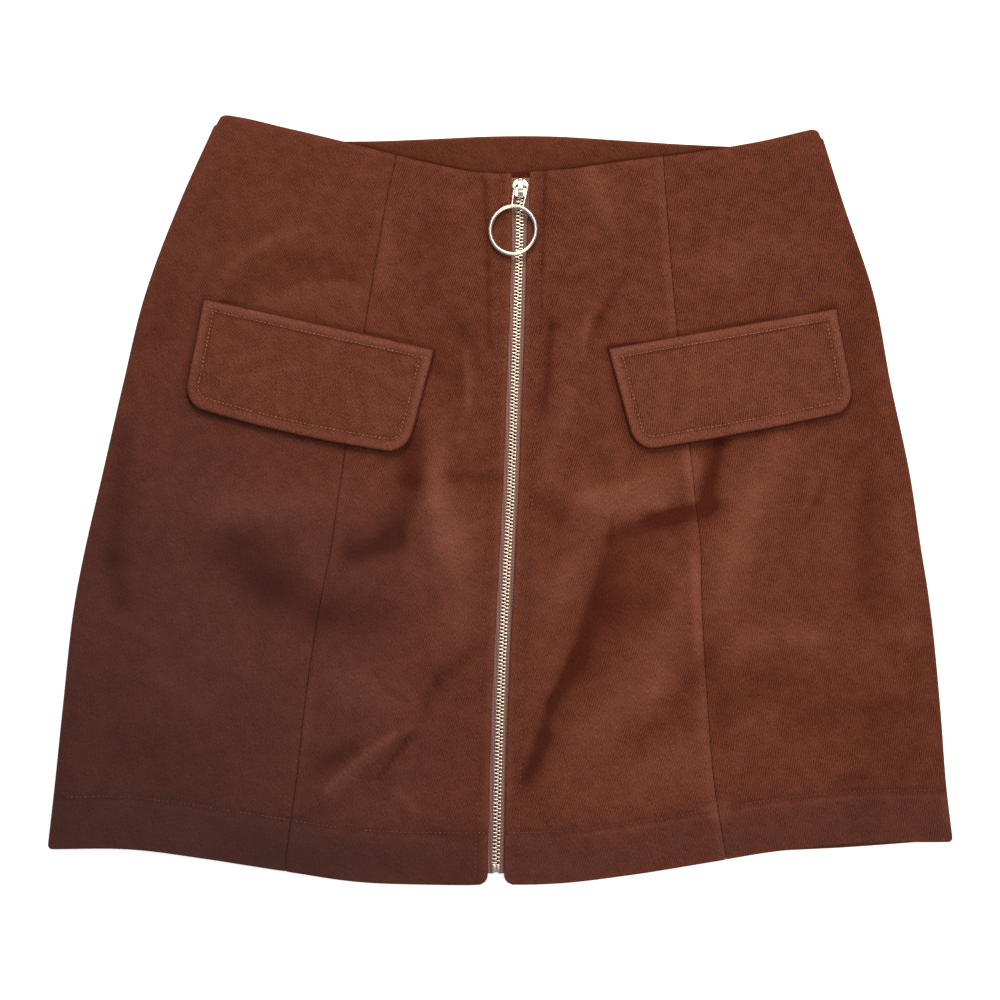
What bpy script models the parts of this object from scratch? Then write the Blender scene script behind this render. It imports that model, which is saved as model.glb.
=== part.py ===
"""A brushed-twill A-line mini skirt with a zip down its whole front, laid flat with its front up.

The skirt lies on the plane z = 0, its waist towards +Y. Left and right are as seen from the front.
Each sheet of cloth is a wall between an outer and an inner net of points. Both nets come from the
skirt's long lines (side edges, princess seams and zip), from its waist and hem edges, and from one
rule for the height of the cloth that lies on top. Sizes are in millimetres, and a mesh is made in
metres.
"""

from math import cos, pi, radians, sin
from typing import NamedTuple

import bmesh
import bpy
import numpy as np

MM = 0.001

# Cloth
CLOTH = 1.2  # one layer of the brushed twill
TURNED = 2.0  # two pressed layers, as at the hem, the waist edge and the zip
SEAM_GAP = 0.3  # between pieces that are sewn together
LOFT = 1.8  # air between the front and the back where nothing presses them
DEEPEST_FOLD, HIGHEST_FOLD = 1.4, 2.3  # the most that a fold sinks or rises from there
SIDE_ROLL = 2.6  # radius of the soft fold down each side
SIDE_ROUND = 24.0  # the front comes down to the side fold over this width
HEM_DEPTH = 29.0
WAIST_TURNING = 34.0
STITCHED_HALF = 12.5  # beside the zip the cloth is turned under as far as its topstitching
TURNING_FADE = 8.0  # a turned-under edge thins out over this width, for evenly sized faces
HEM_LOFT, WAIST_LOFT = 0.9, 1.1  # air between the front and the back at the hem and the waist
HEM_RISE, WAIST_RISE, ZIP_RISE = 27.0, 26.0, 20.0  # widths over which the front lifts from there
SEAM_DIP, SEAM_DIP_HALF = 0.4, 3.0  # a pressed princess seam sinks this much, over this half width
RIM = 1.0  # a folded edge rounds off over this width
SOFTENED = 0.45  # share of its thickness that a folded edge keeps at its rim
HEM_CORNER, WAIST_CORNER, ZIP_CORNER = 3.0, 6.5, 5.5
FRONT_LENGTH = 398.0  # from hem to waist beside the zip
SIDE_LENGTH = 400.0  # from hem to waist at the middle of a side front
SIDE_WIDTH, CENTRE_WIDTH = 120.0, 90.0  # typical widths of the front panels

# Facing inside the back waist
FACING_CLOTH = 1.0
FACING_DEPTH = 38.0
FACING_INSET = 1.0  # it lies this far inside the waist edge

# Zip
OPENING_HALF, OPENING_AT_SLIDER = 4.4, 5.3  # half the gap between the folded edges of cloth
TAPE = 1.0
TAPE_HALF = 12.5
CHAIN_HALF = 2.2
CHAIN_DEEP = 2.0
ZIP_TOP, ZIP_BOTTOM = 180.3, -211.9
CHAIN_TOP = 171.3  # the chain ends inside the slider
STOP_LENGTH = 4.6
CLIMB = (150.8, 154.8, 158.8, 162.8, 167.3)  # levels of the climb onto the slider's plate
HEM_CLIMB = (-177.2, -151.2)  # and of the climb onto the back's turned hem

# Slider and its ring pull
SLIDER_PLATE = 0.8  # the plate under the tape
SLIDER_COVER = 1.1  # the plate over the teeth
SLIDER_WIDTH, SLIDER_LENGTH = 9.2, 11.4
SLIDER_Y = 173.4
POST_HALF, POST_NEAR, POST_FAR = 1.2, -1.0, 3.4  # half width, and reach from the slider's middle
BRIDGE_WIDTH, BRIDGE_DEEP = 3.2, 1.0
PIVOT_X, PIVOT_Y = 12.2, 174.8
BAR_RADIUS = 0.7
BAR_CLEAR = 0.45
LEG_HALF_SPAN = 3.6
RING_HALF_WIDTH, RING_HALF_LENGTH = 13.05, 13.9  # to the middle of its band
RING_BAND, RING_DEEP = 2.3, 2.0
RING_REACH = 26.9  # from the pivot to the ring's centre
RING_LEAN = radians(10.5)  # the ring leans to the left of straight down
RING_TIP = radians(1.5)  # and slopes down from the slider to the cloth

# Flaps
FLAP_CLOTH = 2.2
FLAP_LIFT = 1.3  # the lower edge stands off the skirt by this much more than the top edge
FLAP_CORNER = 13.0
FLAP_BOW = {"left": 3.0, "right": 1.3}  # how far the lower edge bows down at its middle

STEP = 14.0  # spacing of a net's points


class Level(NamedTuple):
    """Where the skirt's long lines cross one level, y."""

    y: float
    side_left: float
    seam_left: float
    zip: float
    seam_right: float
    side_right: float


LEVELS = (
    Level(-204.2, -249.2, -117.6, -2.4, 124.0, 249.7),
    Level(-164.2, -246.0, -112.8, -1.5, 118.0, 246.2),
    Level(-124.2, -243.2, -108.9, -0.3, 115.4, 244.5),
    Level(-59.2, -237.7, -100.0, 2.8, 112.7, 239.9),
    Level(-33.2, -233.4, -95.2, 4.2, 112.6, 236.6),
    Level(5.8, -225.6, -90.0, 6.2, 109.0, 232.1),
    Level(60.8, -214.8, -82.2, 8.2, 103.6, 222.4),
    Level(110.8, -204.2, -74.7, 10.1, 99.6, 214.6),
    Level(165.8, -185.6, -65.8, 11.5, 95.9, 198.4),
    Level(216.8, -164.6, -55.0, 12.2, 93.0, 184.2),
)


class Edge(NamedTuple):
    """How high the waist and hem edges lie at one place across the skirt, x."""

    x: float
    hem: float
    back_hem: float
    waist: float
    back_waist: float


EDGES = (
    Edge(-250, -198.7, -194.7, 224.8, 218.8),
    Edge(-200, -199.2, -196.2, 220.1, 216.8),
    Edge(-160, -204.3, -200.7, 218.3, 212.8),
    Edge(-120, -210.3, -206.7, 209.4, 204.8),
    Edge(-80, -216.1, -210.2, 199.4, 203.9),
    Edge(-40, -217.8, -210.8, 189.2, 205.3),
    Edge(-4, -217.6, -209.6, 182.7, 206.9),
    Edge(30, -217.2, -209.8, 184.6, 206.9),
    Edge(70, -212.8, -207.8, 190.4, 204.5),
    Edge(110, -206.6, -204.0, 195.4, 201.9),
    Edge(150, -200.1, -200.5, 202.2, 200.8),
    Edge(190, -196.0, -198.4, 211.4, 205.8),
    Edge(250, -194.8, -194.0, 216.8, 210.8),
)


class Fold(NamedTuple):
    """A soft ridge, or a trough where height is negative, along a straight run."""

    x0: float
    y0: float
    x1: float
    y1: float
    width: float
    height: float


FOLDS = (
    # the long diagonal trough to the right of the zip, and the swell beside it
    Fold(84, -51.2, 50, -96.2, 16, -1.3),
    Fold(50, -96.2, 26, -159.2, 14, -1.2),
    Fold(96, -91.2, 62, -149.2, 20, 1.1),
    # the break below the right flap
    Fold(62, -21.2, 116, -8.2, 11, -1.3),
    Fold(54, -2.2, 112, 8.8, 10, 1.4),
    Fold(121, 18.8, 127, -17.2, 9, -1.0),
    Fold(150, -29.2, 190, -59.2, 26, 1.0),
    # left of the zip
    Fold(-46, 24.8, -56, -13.2, 12, -1.2),
    Fold(-56, -13.2, -84, -43.2, 14, -1.2),
    Fold(-38, 2.8, -34, -47.2, 12, 1.6),
    Fold(-150, -47.2, -96, -65.2, 20, -1.2),
    Fold(-190, -19.2, -120, -13.2, 22, 1.0),
    # lower left
    Fold(-96, -175.2, -50, -133.2, 12, 1.8),
    Fold(-72, -185.2, -34, -149.2, 12, -1.0),
    Fold(-170, -149.2, -130, -109.2, 24, 0.9),
    # above the flaps
    Fold(-38, 74.8, -28, 40.8, 9, -1.0),
    Fold(52, 120.8, 44, 60.8, 13, 1.0),
    Fold(150, 150.8, 130, 120.8, 24, 0.8),
    Fold(-130, 160.8, -110, 125.8, 24, 0.8),
)


class Corners(NamedTuple):
    """A flap's corners as if they were sharp, as (x, y)."""

    top_left: tuple
    top_right: tuple
    bottom_right: tuple
    bottom_left: tuple


FLAPS = {
    "left": Corners((-169.7, 109.2), (-37.0, 79.5), (-52.4, 18.8), (-179.8, 47.2)),
    "right": Corners((61.0, 80.0), (192.2, 103.4), (201.2, 44.0), (76.1, 20.2)),
}


class Finish(NamedTuple):
    """What a material looks like."""

    colour: tuple
    roughness: float
    metallic: float


FINISHES = {
    "brushed_twill": Finish((0.145, 0.041, 0.022), 0.9, 0.0),
    "facing_twill": Finish((0.138, 0.044, 0.024), 0.9, 0.0),
    "zip_tape": Finish((0.16, 0.085, 0.075), 0.8, 0.0),
    "nickel": Finish((0.72, 0.69, 0.64), 0.28, 1.0),
}


# ---- Lines, edges and heights -------------------------------------------------------------------


def smooth_curve(at, knots, values):
    """Reads a smooth curve through a few knots, with slopes taken from each knot's neighbours."""
    knots, values = np.asarray(knots, float), np.asarray(values, float)
    slopes = np.gradient(values, knots)
    at = np.clip(at, knots[0], knots[-1])
    i = np.clip(np.searchsorted(knots, at) - 1, 0, len(knots) - 2)
    step = knots[i + 1] - knots[i]
    t = (at - knots[i]) / step
    rise = values[i + 1] - values[i]
    bend = (slopes[i] * step - rise) * (1 - t) - (slopes[i + 1] * step - rise) * t
    return values[i] + rise * t + bend * t * (1 - t)


def line(name):
    """The long line of this name, as a function that gives x at y."""
    ys = [level.y for level in LEVELS]
    xs = [getattr(level, name) for level in LEVELS]
    return lambda y: smooth_curve(y, ys, xs)


def edge(name):
    """The waist or hem edge of this name, as a function that gives y at x."""
    xs = [row.x for row in EDGES]
    ys = [getattr(row, name) for row in EDGES]
    return lambda x: smooth_curve(x, xs, ys)


def ramp(value, start, end):
    """Rises smoothly from 0 at start to 1 at end."""
    t = np.clip((value - start) / (end - start), 0.0, 1.0)
    return t * t * (3 - 2 * t)


def corner_cut(distance, radius):
    """How far a rounded corner draws an edge back, at a distance from the line it turns into."""
    short = np.clip(radius - distance, 0.0, radius)
    return radius - np.sqrt(radius**2 - short**2)


zip_line, side_left, side_right = line("zip"), line("side_left"), line("side_right")


def opening_half(y):
    """Half the gap between the folded edges, which part a little to pass the slider."""
    at_slider = ramp(y, CLIMB[0], CLIMB[-1])
    return OPENING_HALF + (OPENING_AT_SLIDER - OPENING_HALF) * at_slider


def trimmed_edge(name):
    """An edge with its corners at the sides rounded, and a front hem's at the zip too."""
    plain = edge(name)
    down = -1.0 if "waist" in name else 1.0
    radius = WAIST_CORNER if "waist" in name else HEM_CORNER

    def height(x):
        y = plain(x)
        from_side = np.minimum(x - side_left(y), side_right(y) - x)
        cut = corner_cut(from_side, radius)
        if name == "hem":
            cut = cut + corner_cut(abs(x - zip_line(y)) - opening_half(y), ZIP_CORNER)
        return y + down * cut

    return height


def fold_height(x, y):
    """The height that the soft folds add at a point."""
    total = np.zeros_like(x)
    for fold in FOLDS:
        run = np.array((fold.x1 - fold.x0, fold.y1 - fold.y0))
        share = ((x - fold.x0) * run[0] + (y - fold.y0) * run[1]) / (run @ run)
        share = np.clip(share, 0.0, 1.0)
        away = np.hypot(x - fold.x0 - share * run[0], y - fold.y0 - share * run[1])
        total += fold.height * np.exp(-((away / fold.width) ** 2))
    limit = np.where(total < 0, DEEPEST_FOLD, HIGHEST_FOLD)
    return limit * np.tanh(total / limit)


def zip_level(y):
    """The height of the zip tape's underside: over the back's hem, and over the slider's plate."""
    open_cloth = CLOTH + SEAM_GAP
    over_hem = TURNED + SEAM_GAP
    over_slider = CLOTH + FACING_CLOTH + 3 * SEAM_GAP + SLIDER_PLATE
    at_hem = 1 - ramp(y, *HEM_CLIMB)
    at_slider = ramp(y, CLIMB[0], CLIMB[-1])
    return open_cloth + (over_hem - open_cloth) * at_hem + (over_slider - open_cloth) * at_slider


def front_thickness(x, y):
    """The front wall's thickness: two layers where the cloth is turned under."""
    hem = 1 - ramp(y - edge("hem")(x), HEM_DEPTH, HEM_DEPTH + TURNING_FADE)
    waist = 1 - ramp(edge("waist")(x) - y, WAIST_TURNING, WAIST_TURNING + TURNING_FADE)
    from_zip = abs(x - zip_line(y))
    beside_zip = 1 - ramp(from_zip, STITCHED_HALF, STITCHED_HALF + TURNING_FADE / 2)
    layers = np.maximum(np.maximum(hem, waist), beside_zip)
    return CLOTH + (TURNED - CLOTH) * layers


def resting_height(x, y):
    """The height of a stiff piece laid on the front: it bridges the hollows beside each point."""
    reach = STEP / 2
    around = [(0, 0), (reach, 0), (-reach, 0), (0, reach), (0, -reach)]
    return np.max([front_height(x + dx, y + dy) for dx, dy in around], axis=0)


def front_height(x, y):
    """The height of the front's outer surface."""
    open_cloth = 2 * CLOTH + LOFT
    at_hem = 2 * TURNED + HEM_LOFT
    at_waist = CLOTH + FACING_CLOTH + TURNED + WAIST_LOFT
    at_zip = zip_level(y) + TAPE + SEAM_GAP + TURNED
    rise_from = HEM_DEPTH + 3.0
    hem = 1 - ramp(y - edge("hem")(x), rise_from, rise_from + HEM_RISE)
    rise_from = FACING_DEPTH + 4.0
    waist = 1 - ramp(edge("back_waist")(x) - y, rise_from, rise_from + WAIST_RISE)
    rise_from = TAPE_HALF + 2.0
    beside_zip = 1 - ramp(abs(x - zip_line(y)), rise_from, rise_from + ZIP_RISE)
    from_side = np.minimum(x - side_left(y), side_right(y) - x)
    side = 1 - ramp(from_side, SIDE_ROLL, SIDE_ROLL + SIDE_ROUND)
    height = open_cloth + (at_hem - open_cloth) * hem + (at_waist - open_cloth) * waist
    height = height + (at_zip - height) * beside_zip
    height = height + (2 * SIDE_ROLL - height) * side
    free = (1 - 0.8 * hem) * (1 - waist) * (1 - beside_zip) * (1 - side)
    seam = np.minimum(abs(x - line("seam_left")(y)), abs(x - line("seam_right")(y)))
    return height + fold_height(x, y) * free - SEAM_DIP * (1 - ramp(seam, 0.0, SEAM_DIP_HALF))


# ---- Meshes -------------------------------------------------------------------------------------


def new_object(name, mesh_maker, finish):
    """Makes an object from a function that fills a bmesh in millimetres."""
    bm = bmesh.new()
    mesh_maker(bm)
    bmesh.ops.recalc_face_normals(bm, faces=bm.faces)
    bmesh.ops.scale(bm, vec=(MM, MM, MM), verts=bm.verts)
    mesh = bpy.data.meshes.new(name)
    bm.to_mesh(mesh)
    bm.free()
    mesh.shade_smooth()
    mesh.set_sharp_from_angle(angle=radians(50))
    mesh.materials.append(finish)
    obj = bpy.data.objects.new(name, mesh)
    bpy.context.scene.collection.objects.link(obj)
    return obj


def make_finish(name):
    """A Principled material from the table of finishes."""
    material = bpy.data.materials.new(name)
    material.use_nodes = True
    shader = material.node_tree.nodes["Principled BSDF"]
    shader.inputs["Base Color"].default_value = (*FINISHES[name].colour, 1.0)
    shader.inputs["Roughness"].default_value = FINISHES[name].roughness
    shader.inputs["Metallic"].default_value = FINISHES[name].metallic
    return material


def stations(length, step=STEP, extra=()):
    """Shares along a length: one close to each end, where an edge rounds off, and the rest even.

    extra gives more distances, where the height changes fast.
    """
    even = np.linspace(RIM, length - RIM, max(3, round(length / step)))
    even = [at for at in even if all(abs(at - more) > step / 4 for more in extra)]
    return np.sort(np.concatenate([[0.0], even, extra, [length]])) / length


def soften(outer, inner, rows, columns):
    """Draws the walls' two nets together along folded edges, so that the edge is round."""
    middle = (outer + inner) / 2
    for net in (outer, inner):
        for row in rows:
            net[row] = middle[row] + (net[row] - middle[row]) * SOFTENED
        for column in columns:
            net[:, column] = middle[:, column] + (net[:, column] - middle[:, column]) * SOFTENED


def wall(name, outer, inner, finish):
    """A closed wall between an outer and an inner net that have the same rows and columns."""
    rows, columns = outer.shape[:2]

    def fill(bm):
        nets = [
            [[bm.verts.new(point) for point in row] for row in net] for net in (outer, inner)
        ]
        for net in nets:
            for i in range(rows - 1):
                for j in range(columns - 1):
                    bm.faces.new((net[i][j], net[i][j + 1], net[i + 1][j + 1], net[i + 1][j]))
        around = [(0, j) for j in range(columns)]
        around += [(i, columns - 1) for i in range(1, rows)]
        around += [(rows - 1, j) for j in range(columns - 2, -1, -1)]
        around += [(i, 0) for i in range(rows - 2, 0, -1)]
        for a, b in zip(around, around[1:] + around[:1]):
            corner = [nets[0][a[0]][a[1]], nets[0][b[0]][b[1]]]
            corner += [nets[1][b[0]][b[1]], nets[1][a[0]][a[1]]]
            bm.faces.new(corner)

    return new_object(name, fill, finish)


def lay_net(start, end, hem, waist, shares, stretch, out=0.0):
    """Spreads points between two long lines and two edges.

    shares runs across from start to end, stretch runs from the hem to the waist, and out adds a
    distance across, one for each column.
    """
    t, s = np.meshgrid(stretch, shares, indexing="ij")
    y = ZIP_BOTTOM + (ZIP_TOP - ZIP_BOTTOM) * t
    for _ in range(20):
        x = start(y) * (1 - s) + end(y) * s + out
        y = hem(x) * (1 - t) + waist(x) * t
    return x, y


def stack(x, y, z):
    """A net of points from its three coordinates."""
    return np.stack(np.broadcast_arrays(x, y, z), axis=-1).astype(float)


# ---- The skirt's pieces -------------------------------------------------------------------------


def make_back(finish):
    """The back: flat on the ground, and rolled up to the side seams along both edges."""
    turns = np.linspace(0.0, pi / 2, 5)  # from the seam at the side to the flat
    flat = np.linspace(0.0, 1.0, 8)
    sweep = np.concatenate([turns, np.full(len(flat) - 2, pi / 2), turns[::-1]])
    shares = np.concatenate([np.zeros(4), flat, np.ones(4)])
    sign = np.where(np.arange(len(shares)) < len(shares) / 2, -1.0, 1.0)
    hem, waist = trimmed_edge("back_hem"), trimmed_edge("back_waist")
    turned = (HEM_DEPTH, HEM_DEPTH + TURNING_FADE)
    stretch = stations(SIDE_LENGTH, 2 * STEP, turned)
    x, y = lay_net(
        lambda y: side_left(y) + SIDE_ROLL,
        lambda y: side_right(y) - SIDE_ROLL,
        hem,
        waist,
        shares,
        stretch,
        out=sign * SIDE_ROLL * np.cos(sweep),
    )
    thick = TURNED - (TURNED - CLOTH) * ramp(y - edge("back_hem")(x), *turned)
    centre = SIDE_ROLL - SEAM_GAP / 2
    outer = stack(x, y, centre - centre * np.sin(sweep))
    inner = stack(
        x - sign * thick * np.cos(sweep), y, centre - (centre - thick) * np.sin(sweep)
    )
    soften(outer, inner, (0, -1), ())
    return wall("back_panel", outer, inner, finish)


def make_facing(finish):
    """The facing inside the back waist, the strip that shows above the dipped front edge."""
    inset = SIDE_ROLL + 2.0
    stretch = np.array([0.0, 0.35, 0.7, 1.0])
    upper = edge("back_waist")
    x, y = lay_net(
        lambda y: side_left(y) + inset,
        lambda y: side_right(y) - inset,
        lambda x: upper(x) - FACING_DEPTH,
        lambda x: upper(x) - FACING_INSET,
        np.linspace(0.0, 1.0, 20),
        stretch,
    )
    base = CLOTH + SEAM_GAP
    return wall("back_facing", stack(x, y, base + FACING_CLOTH), stack(x, y, base), finish)


def front_walls(x, y, flat_x, sweep, sign):
    """The outer and inner nets of a front panel, rolled down to the side seam where it sweeps."""
    thick = front_thickness(flat_x, y)
    seam_level = SIDE_ROLL + SEAM_GAP / 2
    rise = front_height(flat_x, y) - seam_level
    outer = stack(x, y, seam_level + rise * np.sin(sweep))
    inner_x = x - sign * thick * np.cos(sweep)
    inner = stack(inner_x, y, seam_level + (rise - thick) * np.sin(sweep))
    return outer, inner


def make_front_side(hand, finish):
    """A side front panel, from its princess seam to the side."""
    sign = -1.0 if hand == "left" else 1.0
    seam, side = line("seam_" + hand), line("side_" + hand)
    across = stations(SIDE_WIDTH)[:-1]
    across = across / across[-1]
    turns = np.linspace(pi / 2, 0.0, 5)
    shares = np.concatenate([across, np.ones(4)])
    sweep = np.concatenate([np.full(len(across) - 1, pi / 2), turns])
    out = sign * SIDE_ROLL * np.cos(sweep)
    x, y = lay_net(
        lambda y: seam(y) + sign * SEAM_GAP / 2,
        lambda y: side(y) - sign * SIDE_ROLL,
        trimmed_edge("hem"),
        trimmed_edge("waist"),
        shares,
        stations(SIDE_LENGTH),
        out,
    )
    outer, inner = front_walls(x, y, x - out, sweep, sign)
    soften(outer, inner, (0, -1), ())
    return wall("front_side_" + hand, outer, inner, finish)


def make_front_centre(hand, finish):
    """A centre front panel, from the folded edge beside the zip to its princess seam."""
    sign = -1.0 if hand == "left" else 1.0
    seam = line("seam_" + hand)
    across = stations(CENTRE_WIDTH, STEP, (TAPE_HALF + 2.0 - OPENING_HALF,))
    climb = [level - ZIP_TOP + FRONT_LENGTH for level in CLIMB]
    x, y = lay_net(
        lambda y: zip_line(y) + sign * opening_half(y),
        lambda y: seam(y) - sign * SEAM_GAP / 2,
        trimmed_edge("hem"),
        trimmed_edge("waist"),
        across,
        stations(FRONT_LENGTH, STEP, climb),
    )
    outer, inner = front_walls(x, y, x, pi / 2, sign)
    soften(outer, inner, (0, -1), (0,))
    return wall("front_centre_" + hand, outer, inner, finish)


def make_flap(hand, finish):
    """A pocket flap: two layers of cloth with a rolled rim, laid on the front."""
    corners = FLAPS[hand]
    top_left, top_right, bottom_right, bottom_left = (np.array(c, float) for c in corners)
    width = np.linalg.norm(top_right - top_left)
    deep = np.linalg.norm(bottom_left - top_left)
    arc = FLAP_CORNER * (1 - np.cos(np.linspace(0.0, pi / 2, 5)))
    straight = np.linspace(deep - RIM, FLAP_CORNER, 5)[:-1]
    from_bottom = np.concatenate([[deep], straight, arc[::-1]])
    short = np.clip(FLAP_CORNER - from_bottom, 0.0, FLAP_CORNER)
    inset = FLAP_CORNER - np.sqrt(FLAP_CORNER**2 - short**2)
    t = (1 - from_bottom / deep)[:, None]
    s = (inset[:, None] + stations(width)[None, :] * (width - 2 * inset[:, None])) / width
    net = [
        top_left[k] * (1 - s) * (1 - t)
        + top_right[k] * s * (1 - t)
        + bottom_right[k] * s * t
        + bottom_left[k] * (1 - s) * t
        for k in (0, 1)
    ]
    net[1] = net[1] - FLAP_BOW[hand] * 4 * s * (1 - s) * t
    base = resting_height(*net) + SEAM_GAP + FLAP_LIFT * ramp(t, 0.2, 1.0)
    outer, inner = stack(*net, base + FLAP_CLOTH), stack(*net, base)
    soften(outer, inner, (0, -1), (0, -1))
    return wall("flap_" + hand, outer, inner, finish)


def make_strip(name, near, far, thick, bottom, top, sign, finish):
    """A strip beside the zip's centre line, from near to far, following the zip's height."""
    climb = [level - bottom for level in CLIMB]
    t, s = np.meshgrid(stations(top - bottom, STEP, climb), (0, 1), indexing="ij")
    y = bottom + (top - bottom) * t
    x = zip_line(y) + sign * (near + (far - near) * s)
    level = zip_level(y)
    return wall(name, stack(x, y, level + thick), stack(x, y, level), finish)


# ---- Slider, stop and ring ----------------------------------------------------------------------


def prism(bm, outline, axis, low, high):
    """Adds a straight prism: an outline of points, pushed from low to high along an axis."""
    ends = []
    for level in (low, high):
        points = [np.insert(np.array(point, float), axis, level) for point in outline]
        ends.append([bm.verts.new(point) for point in points])
    for end in ends:
        bm.faces.new(end)
    for i in range(len(outline)):
        k = (i + 1) % len(outline)
        bm.faces.new((ends[0][i], ends[0][k], ends[1][k], ends[1][i]))


def guide(name, mesh_maker, finish):
    """A hidden helper body that is joined to another by a Boolean."""
    obj = new_object(name, mesh_maker, finish)
    obj.hide_render = True
    obj.display_type = "WIRE"
    return obj


def join(obj, helper):
    """Fuses a helper body onto an object."""
    modifier = obj.modifiers.new(helper.name, "BOOLEAN")
    modifier.operation = "UNION"
    modifier.solver = "EXACT"
    modifier.object = helper


def slider_outline():
    """The slider's plan: a round head towards the waist and straight sides to a narrower tail."""
    x, head = float(zip_line(SLIDER_Y)), SLIDER_WIDTH / 2
    top = SLIDER_Y + SLIDER_LENGTH / 2 - head
    tail = SLIDER_Y - SLIDER_LENGTH / 2
    round_head = [
        (x + head * cos(angle), top + head * sin(angle)) for angle in np.linspace(0.0, pi, 9)
    ]
    return round_head + [(x - head * 0.8, tail + 1.0), (x - head * 0.62, tail)] + [
        (x + head * 0.62, tail), (x + head * 0.8, tail + 1.0)
    ]


def cover_level():
    """The height of the slider's cover, just over the teeth."""
    return float(zip_level(SLIDER_Y)) + CHAIN_DEEP + SEAM_GAP


def pivot_level():
    """The height of the ring pull's bar, just over the slider's cover."""
    return cover_level() + SLIDER_COVER + BAR_CLEAR + BAR_RADIUS


def make_slider(finish):
    """The slider: a cover over the teeth, a plate under them, a post between, and a bridge."""
    x, under, cover = float(zip_line(SLIDER_Y)), CLOTH + FACING_CLOTH + 2 * SEAM_GAP, cover_level()
    outline = slider_outline()
    top = cover + SLIDER_COVER
    slider = new_object(
        "zip_slider", lambda bm: prism(bm, outline, 2, cover, top), finish
    )
    plate = guide(
        "slider_plate_guide", lambda bm: prism(bm, outline, 2, under, under + SLIDER_PLATE), finish
    )
    near, far = SLIDER_Y + POST_NEAR, SLIDER_Y + POST_FAR
    post_outline = [
        (x - POST_HALF, near), (x + POST_HALF, near), (x + POST_HALF, far), (x - POST_HALF, far)
    ]
    post = guide(
        "slider_post_guide",
        lambda bm: prism(bm, post_outline, 2, under + SLIDER_PLATE / 2, cover + SLIDER_COVER / 2),
        finish,
    )
    hole = pivot_level() + BAR_RADIUS + BAR_CLEAR
    crest, foot = hole + BRIDGE_DEEP, cover + SLIDER_COVER / 2
    # along the slider from its middle, over the bridge's outside and back along its inside
    arch = [
        (5.0, foot), (4.6, hole), (3.3, crest), (-2.7, crest), (-4.6, hole - 0.4), (-5.2, foot),
        (-3.6, foot), (-3.1, hole - 0.9), (-2.0, hole), (2.6, hole), (3.5, hole - 0.6), (3.6, foot),
    ]
    arch = [(SLIDER_Y + along, level) for along, level in arch]
    half = BRIDGE_WIDTH / 2
    bridge = guide("slider_bridge_guide", lambda bm: prism(bm, arch, 0, x - half, x + half), finish)
    join(slider, plate)
    join(slider, post)
    join(slider, bridge)
    return slider


def make_stop(finish):
    """The stop that clamps the two ends of the chain together at the hem."""
    y = ZIP_BOTTOM + 0.6
    x, level = float(zip_line(y)), float(zip_level(y))
    half = CHAIN_HALF - 0.05
    outline = [
        (x - half, y), (x + half, y), (x + half, y + STOP_LENGTH), (x - half, y + STOP_LENGTH)
    ]
    low, high = level - 0.1, level + CHAIN_DEEP + 0.3
    stop = new_object("zip_bottom_stop", lambda bm: prism(bm, outline, 2, low, high), finish)
    bevel = stop.modifiers.new("round", "BEVEL")
    bevel.width, bevel.segments = 0.5 * MM, 2
    return stop


def pull_frame():
    """The ring pull's own axes: along its bar, from its bar to the ring's centre, and up."""
    along = np.array((cos(RING_LEAN), -sin(RING_LEAN), 0.0))
    down = np.array(
        (-sin(RING_LEAN) * cos(RING_TIP), -cos(RING_LEAN) * cos(RING_TIP), -sin(RING_TIP))
    )
    return along, down, np.cross(down, along)


def tube(bm, path, radius, sides=8):
    """Adds a closed tube along a path that lies in one plane."""
    path = np.array(path, float)
    normal = pull_frame()[2]
    heading = np.gradient(path, axis=0)
    heading /= np.linalg.norm(heading, axis=1)[:, None]
    across = np.cross(heading, normal)
    rings = []
    for i, point in enumerate(path):
        stretch = 1.0
        if 0 < i < len(path) - 1:
            before, after = path[i] - path[i - 1], path[i + 1] - path[i]
            turn = before @ after / np.linalg.norm(before) / np.linalg.norm(after)
            stretch = 1 / np.sqrt((1 + turn) / 2)
        angles = np.arange(sides) * 2 * pi / sides
        ring = [
            point + radius * (stretch * across[i] * cos(a) + normal * sin(a)) for a in angles
        ]
        rings.append([bm.verts.new(p) for p in ring])
    for a, b in zip(rings, rings[1:]):
        for k in range(sides):
            bm.faces.new((a[k], a[(k + 1) % sides], b[(k + 1) % sides], b[k]))
    bm.faces.new(rings[0])
    bm.faces.new(rings[-1])


def make_ring(finish):
    """The one-piece pull: a bar through the bridge, two legs and a finger ring."""
    along, down, up = pull_frame()
    pivot = np.array((PIVOT_X, PIVOT_Y, pivot_level()))
    centre = pivot + down * RING_REACH

    def band(bm):
        rings = []
        for a in np.arange(40) * 2 * pi / 40:
            middle = along * RING_HALF_WIDTH * cos(a) + down * RING_HALF_LENGTH * sin(a)
            spoke = along * cos(a) + down * sin(a)
            rings.append([
                bm.verts.new(
                    centre + middle + spoke * RING_BAND / 2 * cos(b) + up * RING_DEEP / 2 * sin(b)
                )
                for b in (np.arange(8) + 0.5) * 2 * pi / 8
            ])
        for a, b in zip(rings, rings[1:] + rings[:1]):
            for k in range(8):
                bm.faces.new((a[k], a[(k + 1) % 8], b[(k + 1) % 8], b[k]))

    half, foot = LEG_HALF_SPAN, LEG_HALF_SPAN - 0.5
    reach = RING_REACH - RING_HALF_LENGTH
    path = [
        pivot + along * a + down * d
        for a, d in (
            (-foot, reach + 0.6), (-half, reach * 0.5), (-half, 0.9), (-half + 0.8, 0.0),
            (half - 0.8, 0.0), (half, 0.9), (half, reach * 0.5), (foot, reach + 0.6),
        )
    ]
    ring = new_object("pull_ring", band, finish)
    join(ring, guide("pull_legs_guide", lambda bm: tube(bm, path, BAR_RADIUS), finish))
    return ring


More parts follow.
